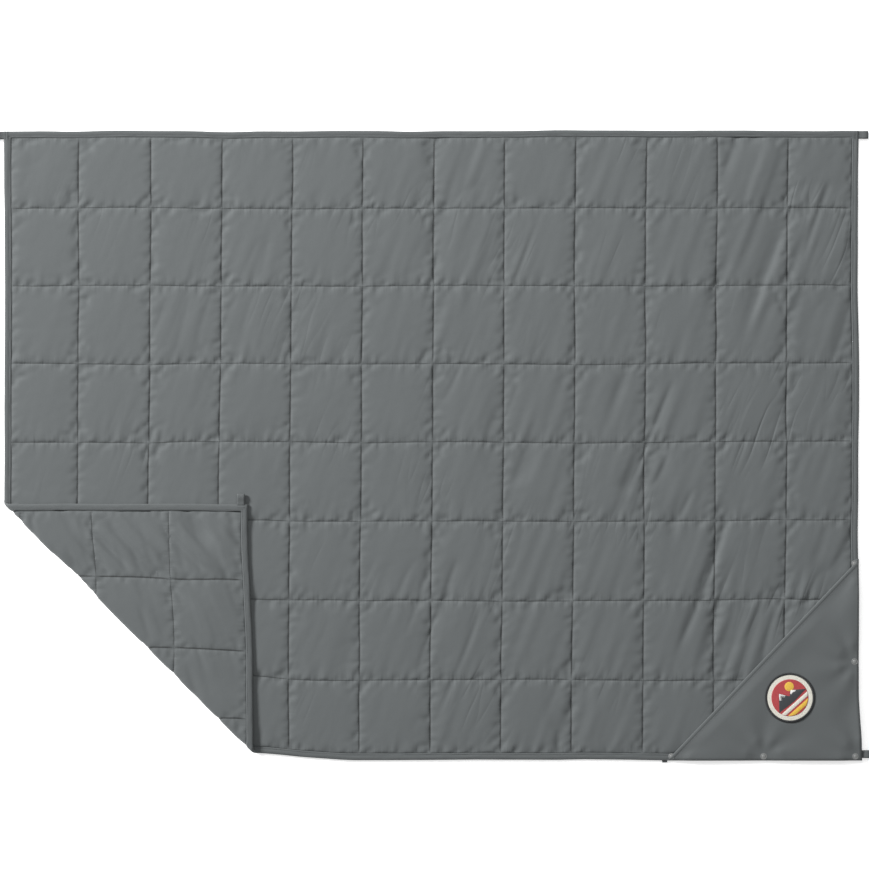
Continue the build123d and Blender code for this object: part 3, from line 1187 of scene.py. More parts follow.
def fold_apart(sheet: Sheet, fold: Fold) -> dict[Region, Sheet]:
    """Cut a flat sheet along the fold, fold it, and part it in body, bend and folded corner.

    Args:
        sheet: A flat sheet that crosses the fold.
        fold: The fold.

    Returns:
        The three parts, with normals of the whole.
    """
    mesh = bpy.data.meshes.new("flat")
    mesh.from_pydata(sheet.points.tolist(), [], sheet.faces)
    work = bmesh.new()
    work.from_mesh(mesh)
    bpy.data.meshes.remove(mesh)
    layer_u = work.verts.layers.float.new("layout_u")
    layer_v = work.verts.layers.float.new("layout_v")
    for vert, (u, v) in zip(work.verts, sheet.layout):
        vert[layer_u] = u
        vert[layer_v] = v
    inward = Vector((1, 1, 0)).normalized()
    origin = Vector((fold.corner[0] + fold.leg / 2, fold.corner[1] + fold.leg / 2, 0))
    for step in range(fold.bend_steps + 1):
        place = origin - inward * (fold.bend * step / fold.bend_steps)
        near = [f for f in work.faces if abs((f.calc_center_median() - place).dot(inward)) < 0.02]
        parts = set(near)
        for f in near:
            parts.update(f.edges)
            parts.update(f.verts)
        bmesh.ops.bisect_plane(work, geom=list(parts), plane_co=place, plane_no=inward, dist=1e-6)
    work.verts.index_update()
    points = np.array([v.co[:] for v in work.verts])
    layout = np.array([(v[layer_u], v[layer_v]) for v in work.verts])
    faces = [[v.index for v in f.verts] for f in work.faces]
    work.free()
    whole = Sheet(points, faces, layout)
    away = fold.distance(face_centres(whole))
    whole.points = fold.place(points)
    whole.normals = vertex_normals(whole)
    return {
        Region.LEFT: subset(whole, away > 0),
        Region.BEND: subset(whole, (away <= 0) & (away > -fold.bend)),
        Region.FOLDED: subset(whole, away <= -fold.bend),
    }


def declare(piece: bpy.types.Object, nodes: Sequence[str]) -> None:
    """Hide the CAD nodes that a finished piece stands for, and log its face count.

    Args:
        piece: The finished piece.
        nodes: CAD nodes that it replaces.
    """
    if nodes:
        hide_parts(*nodes)
    LOG.info("%s: %d faces", piece.name, len(piece.data.polygons))


def dress(piece: bpy.types.Object, region: Region, nodes: Sequence[str]) -> None:
    """Declare a piece and put it on its body; a middle or bend piece stays in place, on no body.

    Args:
        piece: The finished piece.
        region: The stretch of blanket that it belongs to.
        nodes: CAD nodes that it replaces.
    """
    declare(piece, nodes)
    if region is Region.MIDDLE:
        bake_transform(piece)
    elif region is Region.BEND:
        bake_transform(piece)
    else:
        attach(piece, BODY_OF[region])


BODY_OF = {Region.RIGHT: "right_half", Region.LEFT: "left_half", Region.FOLDED: "folded_corner"}
PLAN = Plan.from_frame()
FOLD = Fold.from_frame(PLAN)


# ---------------------------------------------------------------- binding


@dataclass
class Binding:
    """Tape folded over the quilt's edge, all the way round."""

    plan: Plan
    fold: Fold
    step: float = 4.5 * MM
    ripple: float = 0.35 * MM
    end_middle: float = 486 * MM
    end_width: float = 11 * MM
    end_reach: float = 5 * MM
    end_tuck: float = 6 * MM
    profile: tuple[tuple[float, float], ...] = (
        (1.0, 4.9),
        (1.0, 6.0),
        (0.94, 6.6),
        (0.8, 6.9),
        (0.72, 6.5),
        (0.62, 7.1),
        (0.35, 7.3),
        (0.15, 7.0),
        (0.05, 6.3),
        (0.0, 5.2),
        (0.0, 3.8),
        (0.07, 2.3),
        (0.22, 1.5),
        (0.5, 1.3),
        (0.8, 1.5),
        (0.94, 1.7),
        (1.0, 2.3),
    )

    def tape_end(self) -> None:
        """The short cut end of tape that sticks out below the bottom edge, beside the panel."""
        a, d = np.meshgrid(np.linspace(-0.5, 0.5, 6), np.linspace(0, 1, 7), indexing="ij")
        x = self.end_middle + a * self.end_width * (1 - 0.04 * d) + 0.6 * MM * d
        y = self.end_tuck - self.plan.half_width - d * (self.end_tuck + self.end_reach) + 0.7 * MM * a * d
        grid = np.stack([x, y, 4.6 * MM - 1.4 * MM * d + 0.25 * MM * np.cos(a * 9)], -1)
        lower = grid.copy()
        lower[..., 2] -= 0.8 * MM
        sheet = shell(grid[:, ::-1], lower[:, ::-1], np.stack([a, d], -1), "lrbt")
        dress(make_object("tape_end", sheet, "binding_tape"), Region.RIGHT, [])

    def side(self, ends: Sequence[Sequence[float]]) -> tuple[np.ndarray, np.ndarray]:
        """Outer and inner lines of a run of sides, from corner to corner.

        Args:
            ends: Corner points (outer x, outer y, inner x, inner y), in order.

        Returns:
            Outer and inner points along the run.
        """
        outer, inner = [], []
        for a, b in zip(ends[:-1], ends[1:]):
            a, b = np.asarray(a), np.asarray(b)
            count = max(2, round(np.linalg.norm(b[:2] - a[:2]) / self.step))
            share = np.linspace(0, 1, count, endpoint=False)[:, None]
            line = a + (b - a) * share
            outer.append(line[:, :2])
            inner.append(line[:, 2:])
        outer.append(np.asarray([ends[-1][:2]]))
        inner.append(np.asarray([ends[-1][2:]]))
        return np.concatenate(outer), np.concatenate(inner)

    def tape(self, ends: Sequence[Sequence[float]]) -> Sheet:
        """A length of folded tape, flat.

        Args:
            ends: Corner points, as side() takes them.

        Returns:
            The tape, closed all round but for its two ends.
        """
        outer, inner = self.side(ends)
        noise = SoftNoise(SEED + 5)
        rings, layouts = [], []
        for share, height in self.profile:
            flat = outer * (1 - share) + inner * share
            x, y = self.plan.settle(flat[:, 0], flat[:, 1])
            wave = noise.at(flat[:, 0] + 5 * share, flat[:, 1], 0.019) * self.ripple
            rings.append(np.column_stack([x, y, height * MM + wave]))
            layouts.append(flat / COLUMN_PITCH)
        rings = np.stack(rings, 1)
        layouts = np.stack(layouts, 1)
        count, around = rings.shape[:2]
        index = np.arange(count * around).reshape(count, around)
        turned = np.roll(index, -1, 1)
        faces = np.stack([index[:-1], index[1:], turned[1:], turned[:-1]], -1).reshape(-1, 4)
        return Sheet(rings.reshape(-1, 3), faces.tolist(), layouts.reshape(-1, 2))

    def corners(self) -> dict[str, tuple[float, float, float, float]]:
        """Outer and inner corner points, and the points where the tape is cut at the half fold.

        Returns:
            Points (outer x, outer y, inner x, inner y) by name.
        """
        long, wide, tape = self.plan.half_length, self.plan.half_width, self.plan.binding
        cut = self.plan.split
        return {
            "top_left": (-long, wide, tape - long, wide - tape),
            "top_right": (long, wide, long - tape, wide - tape),
            "bottom_left": (-long, -wide, tape - long, tape - wide),
            "bottom_right": (long, -wide, long - tape, tape - wide),
            "top_cut_right": (cut, wide, cut, wide - tape),
            "top_cut_left": (-cut, wide, -cut, wide - tape),
            "bottom_cut_right": (cut, -wide, cut, tape - wide),
            "bottom_cut_left": (-cut, -wide, -cut, tape - wide),
        }

    def build(self) -> None:
        """Make the tape on every stretch."""
        at = self.corners()
        right = ("top_cut_right", "top_right", "bottom_right", "bottom_cut_right")
        left = ("bottom_cut_left", "bottom_left", "top_left", "top_cut_left")
        sheet = self.tape([at[name] for name in right])
        sheet.normals = vertex_normals(sheet)
        piece = make_object("binding_right", sheet, "binding_tape")
        names = ["binding_right_right", "binding_right_bottom", "binding_right_top"]
        tails = ["loop_tails_top_right", "loop_tails_bottom_right"]
        dress(piece, Region.RIGHT, names + tails)
        for end in ("top", "bottom"):
            pair = [at[f"{end}_cut_left"], at[f"{end}_cut_right"]]
            sheet = self.tape(pair if end == "top" else pair[::-1])
            sheet.normals = vertex_normals(sheet)
            piece = make_object(f"binding_middle_{end}", sheet, "binding_tape")
            dress(piece, Region.MIDDLE, [])
        sides = ["binding_left_left", "binding_left_bottom", "binding_left_top"]
        names = {
            Region.LEFT: sides + ["loop_tails_top_left"],
            Region.BEND: [],
            Region.FOLDED: ["binding_corner_right", "binding_corner_top", "loop_tails_folded"],
        }
        for region, part in fold_apart(self.tape([at[name] for name in left]), self.fold).items():
            piece = make_object(f"binding_{region.value}", part, "binding_tape")
            dress(piece, region, names[region])


# ---------------------------------------------------------------- stitches


@dataclass
class Stitching:
    """Rows of stitches that follow lines, made by Geometry Nodes."""

    length: float = 3.0 * MM
    gap: float = 1.3 * MM
    thickness: float = 0.45 * MM
    seed: int = 3

    def tree(self) -> bpy.types.NodeTree:
        """The tree that lays one stitch after another along every line.

        Returns:
            The node group.
        """
        found = bpy.data.node_groups.get("stitch_rows")
        if found:
            return found
        tree = bpy.data.node_groups.new("stitch_rows", "GeometryNodeTree")
        face = tree.interface
        face.new_socket("Lines", in_out="INPUT", socket_type="NodeSocketGeometry")
        for name in ("Pitch", "Length", "Thickness"):
            face.new_socket(name, in_out="INPUT", socket_type="NodeSocketFloat")
        face.new_socket("Seed", in_out="INPUT", socket_type="NodeSocketInt")
        face.new_socket("Thread", in_out="INPUT", socket_type="NodeSocketMaterial")
        face.new_socket("Stitches", in_out="OUTPUT", socket_type="NodeSocketGeometry")
        nodes = Nodes(tree)
        given = nodes.add("NodeGroupInput", {}, {})
        curve = nodes.add("GeometryNodeMeshToCurve", {}, {0: given.outputs["Lines"]})
        spaced = {"Curve": curve.outputs[0], "Length": given.outputs["Pitch"]}
        rows = nodes.add("GeometryNodeCurveToPoints", {"mode": "LENGTH"}, spaced)
        follow = {"Vector": rows.outputs["Tangent"]}
        turn = nodes.add("FunctionNodeAlignRotationToVector", {"axis": "Z"}, follow)
        ball = nodes.add("GeometryNodeMeshUVSphere", {}, {"Segments": 5, "Rings": 4, "Radius": 0.5})
        spread = {2: 0.85, 3: 1.12, "Seed": given.outputs["Seed"]}
        vary = nodes.add("FunctionNodeRandomValue", {"data_type": "FLOAT"}, spread)
        sides = {0: given.outputs["Thickness"], 1: given.outputs["Thickness"], 2: given.outputs["Length"]}
        size = nodes.add("ShaderNodeCombineXYZ", {}, sides)
        varied = {0: size.outputs[0], "Scale": vary.outputs[1]}
        sized = nodes.add("ShaderNodeVectorMath", {"operation": "SCALE"}, varied)
        placing = {
            "Points": rows.outputs[0],
            "Instance": ball.outputs[0],
            "Rotation": turn.outputs[0],
            "Scale": sized.outputs[0],
        }
        laid = nodes.add("GeometryNodeInstanceOnPoints", {}, placing)
        real = nodes.add("GeometryNodeRealizeInstances", {}, {0: laid.outputs[0]})
        smooth = nodes.add("GeometryNodeSetShadeSmooth", {}, {0: real.outputs[0]})
        wearing = {0: smooth.outputs[0], "Material": given.outputs["Thread"]}
        worn = nodes.add("GeometryNodeSetMaterial", {}, wearing)
        nodes.add("NodeGroupOutput", {}, {0: worn.outputs[0]})
        return tree

    def sew(self, name: str, lines: Sequence[np.ndarray], material: str) -> bpy.types.Object:
        """Make the stitches along some lines.

        Args:
            name: The piece's name.
            lines: Arrays of points.
            material: Which thread.

        Returns:
            The stitches as one plain mesh.
        """
        points = np.concatenate(lines)
        edges, start = [], 0
        for line in lines:
            edges += [(start + i, start + i + 1) for i in range(len(line) - 1)]
            start += len(line)
        guide = bpy.data.meshes.new("guide")
        guide.from_pydata(points.tolist(), edges, [])
        carrier = linked("guide", guide)
        modifier = carrier.modifiers.new("stitches", "NODES")
        modifier.node_group = self.tree()
        values = {
            "Pitch": self.length + self.gap,
            "Length": self.length,
            "Thickness": self.thickness,
            "Seed": self.seed,
            "Thread": MATERIALS[material],
        }
        for item in modifier.node_group.interface.items_tree:
            if item.name in values and item.in_out == "INPUT":
                modifier[item.identifier] = values[item.name]
        mesh = applied(carrier)
        bpy.data.objects.remove(carrier)
        mesh.name = name
        return linked(name, mesh)


@dataclass
class SeamStitches:
    """Quilting stitches along every seam and the row along the binding, on both faces."""

    quilt: Quilt
    step: float = 5 * MM
    lift: float = 0.15 * MM
    edge_inset: float = 11 * MM
    edge_rise: float = 6.75 * MM
    edge_fall: float = 1.35 * MM

    def seam_lines(self, side: Side) -> list[np.ndarray]:
        """Every quilting seam, flat, on one face of the quilt.

        Args:
            side: Which face.

        Returns:
            Points along each seam.
        """
        plan = self.quilt.plan
        columns, rows = plan.column_seams(), plan.row_seams()
        height = self.quilt.seam_face_z + self.lift
        if side is Side.BACK:
            height = self.quilt.seam_back_z - self.lift
        lines = [self.line((x, rows[0]), (x, rows[-1]), height) for x in columns[1:-1]]
        return lines + [self.line((columns[0], y), (columns[-1], y), height) for y in rows[1:-1]]

    def edge_lines(self, side: Side) -> list[np.ndarray]:
        """The row of stitches round the binding, flat, on one face.

        Args:
            side: Which face.

        Returns:
            Points along each of the four sides.
        """
        plan = self.quilt.plan
        long, wide = plan.half_length - self.edge_inset, plan.half_width - self.edge_inset
        height = self.edge_rise if side is Side.FACE else self.edge_fall
        ends = ((-long, wide), (long, wide), (long, -wide), (-long, -wide), (-long, wide))
        return [self.line(a, b, height) for a, b in zip(ends[:-1], ends[1:])]

    def line(self, start: Sequence[float], end: Sequence[float], height: float) -> np.ndarray:
        """Points along a straight line of the plan, settled as the cloth is.

        Args:
            start: The line's first point, x and y.
            end: Its last point.
            height: Its height.

        Returns:
            The points, n by 3.
        """
        length = math.dist(start, end)
        share = np.linspace(0, 1, round(length / self.step) + 1)
        x = start[0] + (end[0] - start[0]) * share
        y = start[1] + (end[1] - start[1]) * share
        moved_x, moved_y = self.quilt.plan.settle(x, y)
        return np.column_stack([moved_x, moved_y, np.full(len(x), height)])

    def part(self, lines: Iterable[np.ndarray]) -> dict[Region, list[np.ndarray]]:
        """Cut flat lines where the blanket is cut, and fold them.

        Args:
            lines: Flat lines.

        Returns:
            The cut lines of each region, in place.
        """
        fold, split = self.quilt.fold, self.quilt.plan.split
        parted: dict[Region, list[np.ndarray]] = {region: [] for region in Region}
        for line in lines:
            away = fold.distance(line)
            left_of_split = (line[:, 0] <= split).astype(int) + (line[:, 0] <= -split)
            on_left = left_of_split == 2
            kinds = left_of_split + (on_left & (away <= 0)) + (on_left & (away <= -fold.bend))
            placed = fold.place(line)
            cuts = np.flatnonzero(np.diff(kinds)) + 1
            for stretch, kind in zip(np.split(placed, cuts), kinds[np.concatenate([[0], cuts])]):
                if len(stretch) > 1:
                    parted[list(Region)[kind]].append(stretch)
        return parted

    def build(self) -> None:
        """Sew every seam."""
        sew = Stitching()
        ends = {Region.RIGHT: "right", Region.LEFT: "left", Region.FOLDED: "corner"}
        for kind, thread, maker, node in (
            ("quilting", "quilting_thread", self.seam_lines, "quilting_thread"),
            ("binding", "edge_thread", self.edge_lines, "binding_stitch"),
        ):
            faces = [self.part(maker(side)) for side in Side]
            for region in Region:
                lines = [line for face in faces for line in face[region]]
                if lines:
                    piece = sew.sew(f"{kind}_stitches_{region.value}", lines, thread)
                    dress(piece, region, [f"{node}_{ends[region]}"] if region in ends else [])


# ---------------------------------------------------------------- corner loops


@dataclass
class CornerLoop:
    """A flat loop of doubled tape that sticks out of the binding."""

    name: str
    body: str
    parent: str
    tacks: str
    thickness: float = 0.9 * MM
    into_edge: float = 11 * MM
    across: int = 6

    def build(self) -> None:
        """Make the loop, bent at its root, and the bar tacks that hold it."""
        joint = next(joint for joint in frame["joints"] if joint["child"] == self.body)
        low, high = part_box(self.name)
        root = Vector(joint["pos_m"])
        along = Vector(joint["axis"])
        out = Vector((0, 0, 1)).cross(along).normalized()
        reach = max(abs((high - root).dot(out)), abs((low - root).dot(out)))
        half_width = abs((high - low).dot(along)) / 2
        middle = (low + high) / 2
        side = along * (middle - root).dot(along)
        half_height = (high.z - low.z) / 2
        sheet = self.tape(reach, half_width, half_height)
        spread = np.array([out[:], along[:], (0, 0, 1)])
        root += self.shift(root)
        sheet.points = sheet.points @ spread + np.array((root + side)[:])
        piece = make_object(f"{self.name}_tape", sheet, "loop_tape")
        solidify(piece, self.thickness)
        declare(piece, [self.name])
        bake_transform(piece)
        self.sew_tacks(root + side, out, along, half_width)

    def shift(self, root: Vector) -> Vector:
        """How far the settled cloth has carried the loop's root along with it.

        Args:
            root: The root on the straight plan.

        Returns:
            The shift.
        """
        if self.parent == "folded_corner":
            return Vector((-FOLD.lean, 0, -FOLD.sink * 0.6))
        x, y = PLAN.settle(np.array([root.x]), np.array([root.y]))
        return Vector((x[0] - root.x, y[0] - root.y, 0))

    def tape(self, reach: float, half_width: float, half_height: float) -> Sheet:
        """The doubled tape, running out, round its end and back.

        Args:
            reach: How far the loop goes out from its root.
            half_width: Half the tape's width.
            half_height: Half the eye's height.

        Returns:
            The tape in its own frame: out, along the edge, up.
        """
        inside = self.into_edge
        eye = half_height - self.thickness / 2
        outline = [
            (-inside, 0.75 * MM),
            (-inside * 0.5, 0.8 * MM),
            (0.0, 0.85 * MM),
            (reach * 0.18, 1.1 * MM),
            (reach * 0.34, eye * 0.62),
            (reach * 0.52, eye * 0.95),
            (reach * 0.72, eye),
            (reach * 0.9, eye * 0.78),
            (reach * 0.985, eye * 0.4),
            (reach, 0.0),
        ]
        line = np.array(outline + [(x, -z) for x, z in outline[-2::-1]])
        share = np.linspace(-1, 1, self.across)
        grid = np.zeros((len(line), self.across, 3))
        grid[..., 0] = line[:, None, 0]
        grid[..., 1] = share[None] * half_width
        grid[..., 2] = line[:, None, 1] + 0.15 * MM * np.sin(share * 4)[None]
        points = grid.reshape(-1, 3)
        return Sheet(points, grid_faces(len(line), self.across).tolist(), points[:, :2])

    def sew_tacks(self, root: Vector, out: Vector, along: Vector, half_width: float) -> None:
        """Two bar tacks across the binding over the loop's ends, on both faces.

        Args:
            root: Middle of the loop's root.
            out: Direction out of the blanket.
            along: Direction along the edge.
            half_width: Half the tape's width.
        """
        lines = []
        for inset in (3.2, 4.2, 9.3, 10.3):
            for rise in (2.3, -3.2):
                middle = root - out * (inset * MM) + Vector((0, 0, rise * MM))
                line = [(middle + along * (half_width * share))[:] for share in np.linspace(-0.9, 0.9, 8)]
                lines.append(np.array(line))
        tack = Stitching(length=2.2 * MM, gap=0.0, thickness=0.6 * MM)
        piece = tack.sew(f"{self.name}_tacks", lines, "edge_thread")
        declare(piece, [self.tacks])
        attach(piece, self.parent)


def solidify(piece: bpy.types.Object, thickness: float) -> None:
    """Give a sheet its thickness, half to each side, applied to the mesh.

    Args:
        piece: The sheet.
        thickness: The cloth's thickness.
    """
    modifier = piece.modifiers.new("thickness", "SOLIDIFY")
    modifier.thickness = thickness
    modifier.offset = 0
    mesh = applied(piece)
    piece.modifiers.clear()
    piece.data = mesh


# ---------------------------------------------------------------- snapped panel


@dataclass
class CornerPanel:
    """Plain triangular panel over the bottom right corner, with a rolled hem along its mouth."""

    thickness: float = 0.7 * MM
    base_lift: float = 0.5 * MM
    fold_height: float = 3.6 * MM
    hem_width: float = 7 * MM
    hem_height: float = 0.9 * MM
    overlap: float = 4.5 * MM
    edge_drop: float = 3.2 * MM
    edge_width: float = 4 * MM
    top_width: float = 9 * MM
    rows: int = 130
    columns: int = 110
    mouth_steps: tuple[float, ...] = (0, 0.7, 1.6, 2.8, 4.2, 5.6, 7.0, 8.4, 9.6)
    left: float = field(init=False)
    right: float = field(init=False)
    bottom: float = field(init=False)
    top: float = field(init=False)
    base: float = field(init=False)
    snaps: list[tuple[float, float]] = field(init=False)

    def __post_init__(self) -> None:
        """Read the panel's sides, its base and its snaps from the frame."""
        low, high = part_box("panel_cloth")
        strip_low, strip_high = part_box("panel_strip")
        self.left, self.right = strip_low.x, strip_high.x + self.overlap
        self.bottom, self.top = strip_low.y - self.overlap, high.y
        self.base = low.z + self.base_lift
        self.snaps = snap_places("snap_caps_panel") + snap_places("snap_caps_strip")

    def build(self) -> None:
        """Make the cloth and the stitching below its hem."""
        upper, layout = self.surface()
        lower = upper.copy()
        lower[..., 2] -= self.thickness
        piece = make_object("panel_sheet", shell(upper, lower, layout, "lrbt"), "panel_cloth")
        declare(piece, ["panel_cloth", "panel_strip", "panel_mouth_hem"])
        x, y, z = next(joint["pos_m"] for joint in frame["joints"] if joint["name"] == "panel_lift")
        y - 1 * MM
        y + 7 * MM
        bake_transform(piece)
        self.sew(upper)

    def surface(self) -> tuple[np.ndarray, np.ndarray]:
        """The panel's upper surface, hem and soft folds included.

        Returns:
            Points, columns by rows by 3, and their layout.
        """
        slope = (self.right - self.left) / (self.top - self.bottom)
        share_up = np.linspace(0, 1, self.rows)
        near = np.array(self.mouth_steps) * MM * math.sqrt(2)
        grid = np.zeros((self.columns, self.rows, 3))
        for row, up in enumerate(share_up):
            y = self.bottom + (self.top - self.bottom) * up
            start = min(self.left + (y - self.bottom) * slope, self.right - self.top_width)
            room = self.right - start
            close = near * min(1, room * 0.5 / near[-1])
            rest = np.linspace(close[-1], room, self.columns - len(near) + 1)[1:]
            grid[:, row, 0] = start + np.concatenate([close, rest])
            grid[:, row, 1] = y
        x, y = grid[..., 0], grid[..., 1]
        mouth = ((x - self.left) - (y - self.bottom) * slope) / math.sqrt(1 + slope * slope)
        round_off = np.clip(mouth / self.hem_width, 0, 1)
        hem = np.sqrt(np.clip(1 - (2 * round_off - 1) ** 2, 0, 1)) * self.hem_height
        grid[..., 2] = self.base + hem + self.folds(x, y, mouth) * smooth_step(mouth / 0.03)
        layout = np.stack([x, y], -1) / COLUMN_PITCH
        edge = np.minimum(self.right - x, y - self.bottom)
        grid[..., 2] -= self.edge_drop * (1 - smooth_step(edge / self.edge_width))
        grid[..., 0] = x + PLAN.flared(x, y)
        return grid, layout

    def folds(self, x: np.ndarray, y: np.ndarray, mouth: np.ndarray) -> np.ndarray:
        """Heights of the soft folds that spread from the snaps and run along the mouth.

        Args:
            x: Positions along the blanket.
            y: Positions across the blanket.
            mouth: Distances from the panel's mouth.

        Returns:
            Heights to add, none at a snap.
        """
        noise = SoftNoise(SEED + 7)
        total = 0.7 * (0.5 + 0.5 * noise.at(mouth, (x + y) * 0.22, 0.045))
        flat = np.ones(x.shape)
        for number, (cx, cy) in enumerate(self.snaps):
            dx, dy = x - cx, y - cy
            reach = np.hypot(dx, dy)
            turn = np.arctan2(dy, dx)
            ray = 0.5 + 0.5 * np.sin(turn * 7 + number * 1.9 + 12 * reach)
            total = total + 0.75 * ray * smooth_step(reach / 0.04) * np.exp(-reach / 0.11)
            flat *= smooth_step((reach - 0.006) / 0.035)
        return self.fold_height * total * flat

    def sew(self, upper: np.ndarray) -> None:
        """Stitches below the hem.

        Args:
            upper: The panel's upper surface, columns by rows by 3.
        """
        below_hem = len(self.mouth_steps) - 1
        line = upper[below_hem, 6:-14] + np.array([0, 0, 0.1 * MM])
        piece = Stitching().sew("panel_hem_stitches", [line], "edge_thread")
        declare(piece, ["panel_mouth_stitch"])
        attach(piece, "corner_panel")


def scaled(outline: Sequence[tuple[float, float]], size: float) -> list[tuple[float, float]]:
    """An outline given as shares of a size, counter-clockwise.

    Args:
        outline: The outline's points.
        size: What they are shares of.

    Returns:
        The points in metres.
    """
    points = [(x * size, y * size) for x, y in outline]
    area = sum(a[0] * b[1] - b[0] * a[1] for a, b in zip(points, points[1:] + points[:1]))
    return points if area > 0 else points[::-1]


@dataclass
class Badge:
    """Round embroidered badge: a sun over two snowy peaks, inside an overlocked rim."""

    turn: float = math.radians(42)
    rim_stitches: int = 150
    rim_thickness: float = 0.9 * MM
    rim_lean: float = 0.03
    rise: float = 1.6 * MM
    centre: Vector = field(init=False)
    radius: float = field(init=False)
    ground_z: float = field(init=False)

    def __post_init__(self) -> None:
        """Read the badge's place and size from the frame."""
        low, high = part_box("badge_rim")
        self.centre = (low + high) / 2
        self.radius = (high.x - low.x) / 2
        self.ground_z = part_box("badge_patch")[1].z + self.rise

    def build(self) -> None:
        """Make the ground, the picture and the rim."""
        inner = self.radius * 0.93
        disc = [(inner * math.cos(t), inner * math.sin(t)) for t in np.linspace(0, math.tau, 65)[:-1]]
        sky = [(0.8 * x, 0.8 * y) for x, y in disc]
        sun = [(0.2 * x + 0.3 * inner, 0.2 * y + 0.38 * inner) for x, y in disc[::2]]
        size = inner * 0.8
        peaks = [(-0.97, -0.22), (-0.3, 0.56), (0.04, 0.08), (0.3, 0.3), (0.97, -0.22), (0, -0.3)]
        snow = [(-0.3, 0.54), (-0.1, 0.26), (-0.2, 0.2), (-0.3, 0.3), (-0.42, 0.18), (-0.52, 0.26)]
        cap = [(0.3, 0.28), (0.52, 0.11), (0.42, 0.06), (0.31, 0.13), (0.2, 0.07), (0.15, 0.15)]
        lake = [(-0.92, -0.36), (0.92, -0.36), (0.8, -0.56), (-0.8, -0.56)]
        shore = [(-0.72, -0.66), (0.72, -0.66), (0.42, -0.88), (-0.42, -0.88)]
        self.layer("badge_ground_piece", disc, 0.0, "badge_ground", ["badge_patch"])
        for name, outline, rise, finish in (
            ("sky", sky, 0.35, "badge_sky"),
            ("sun", sun, 0.7, "badge_sun"),
            ("peaks", scaled(peaks, size), 0.75, "badge_peak"),
            ("snow", scaled(snow, size), 1.15, "badge_snow"),
            ("snow_small", scaled(cap, size), 1.15, "badge_snow"),
            ("lake", scaled(lake, size), 0.7, "badge_ground"),
            ("shore", scaled(shore, size), 0.7, "badge_sun"),
        ):
            self.layer(f"badge_{name}_piece", outline, rise, finish)
        self.rim()

    def layer(
        self, name: str, outline: Sequence[tuple], rise: float, finish: str, nodes: Sequence[str] = ()
    ) -> None:
        """One filled shape of embroidery with rounded edges.

        Args:
            name: The piece's name.
            outline: Its outline about the badge's centre.
            rise: Its height over the ground, in millimetres.
            finish: Which embroidery thread.
            nodes: CAD nodes that it replaces.
        """
        points = np.array(outline)
        steps = ((1.0, -0.5), (1.0, 0.2), (0.975, 0.42), (0.93, 0.5))
        middle = points.mean(0)
        rings = []
        for share, height in steps:
            ring = middle + (points - middle) * share
            rings.append(np.column_stack([ring, np.full(len(ring), height * MM)]))
        count = len(points)
        rings.append(np.array([[middle[0], middle[1], 0.55 * MM]]))
        faces = []
        for level in range(len(steps) - 1):
            for i in range(count):
                a, b = level * count + i, level * count + (i + 1) % count
                faces.append((a, b, b + count, a + count))
        top = (len(steps) - 1) * count
        faces += [(top + i, top + (i + 1) % count, top + count) for i in range(count)]
        faces.append(tuple(range(count))[::-1])
        local = np.concatenate(rings)
        cos, sin = math.cos(self.turn), math.sin(self.turn)
        placed = np.column_stack(
            [
                local[:, 0] * cos - local[:, 1] * sin + self.centre.x,
                local[:, 0] * sin + local[:, 1] * cos + self.centre.y,
                local[:, 2] + self.ground_z + rise * MM,
            ]
        )
        piece = make_object(name, Sheet(placed, faces, local[:, :2]), finish)
        declare(piece, nodes)
        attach(piece, "corner_panel")

    def rim(self) -> None:
        """The overlocked rim: close slanting stitches round a cord."""
        lines = []
        inner, outer = self.radius * 0.91, self.radius
        share = np.linspace(0, 1, 5)
        reach = inner + (outer - inner) * share
        height = self.ground_z - 0.2 * MM + np.sin(share * math.pi) * self.rim_thickness
        for number in range(self.rim_stitches):
            angle = math.tau * number / self.rim_stitches + self.rim_lean * share
            x, y = self.centre.x + reach * np.cos(angle), self.centre.y + reach * np.sin(angle)
            lines.append(np.column_stack([x, y, height]))
        curve = bpy.data.curves.new("rim", "CURVE")
        curve.dimensions = "3D"
        curve.bevel_depth = self.rim_thickness
        curve.bevel_resolution = 1
        for line in lines:
            spline = curve.splines.new("POLY")
            spline.points.add(len(line) - 1)
            for point, place in zip(spline.points, line):
                point.co = (*place, 1)
        carrier = linked("rim", curve)
        mesh = applied(carrier)
        bpy.data.objects.remove(carrier)
        mesh.materials.clear()
        mesh.materials.append(MATERIALS["badge_rim"])
        piece = linked("badge_rim_piece", mesh)
        declare(piece, ["badge_rim"])
        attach(piece, "corner_panel")


def snap_places(node: str) -> list[tuple[float, float]]:
    """Centres of a node's snaps, from the frame.

    Args:
        node: The CAD node that holds them.

    Returns:
        Their x and y.
    """
    places = []
    points = np.array([v.co[:2] for v in frame["nodes"][node].data.vertices])
    while len(points):
        near = np.linalg.norm(points - points[0], axis=1) < 0.03
        places.append(tuple((points[near].min(0) + points[near].max(0)) / 2))
        points = points[~near]
    return places


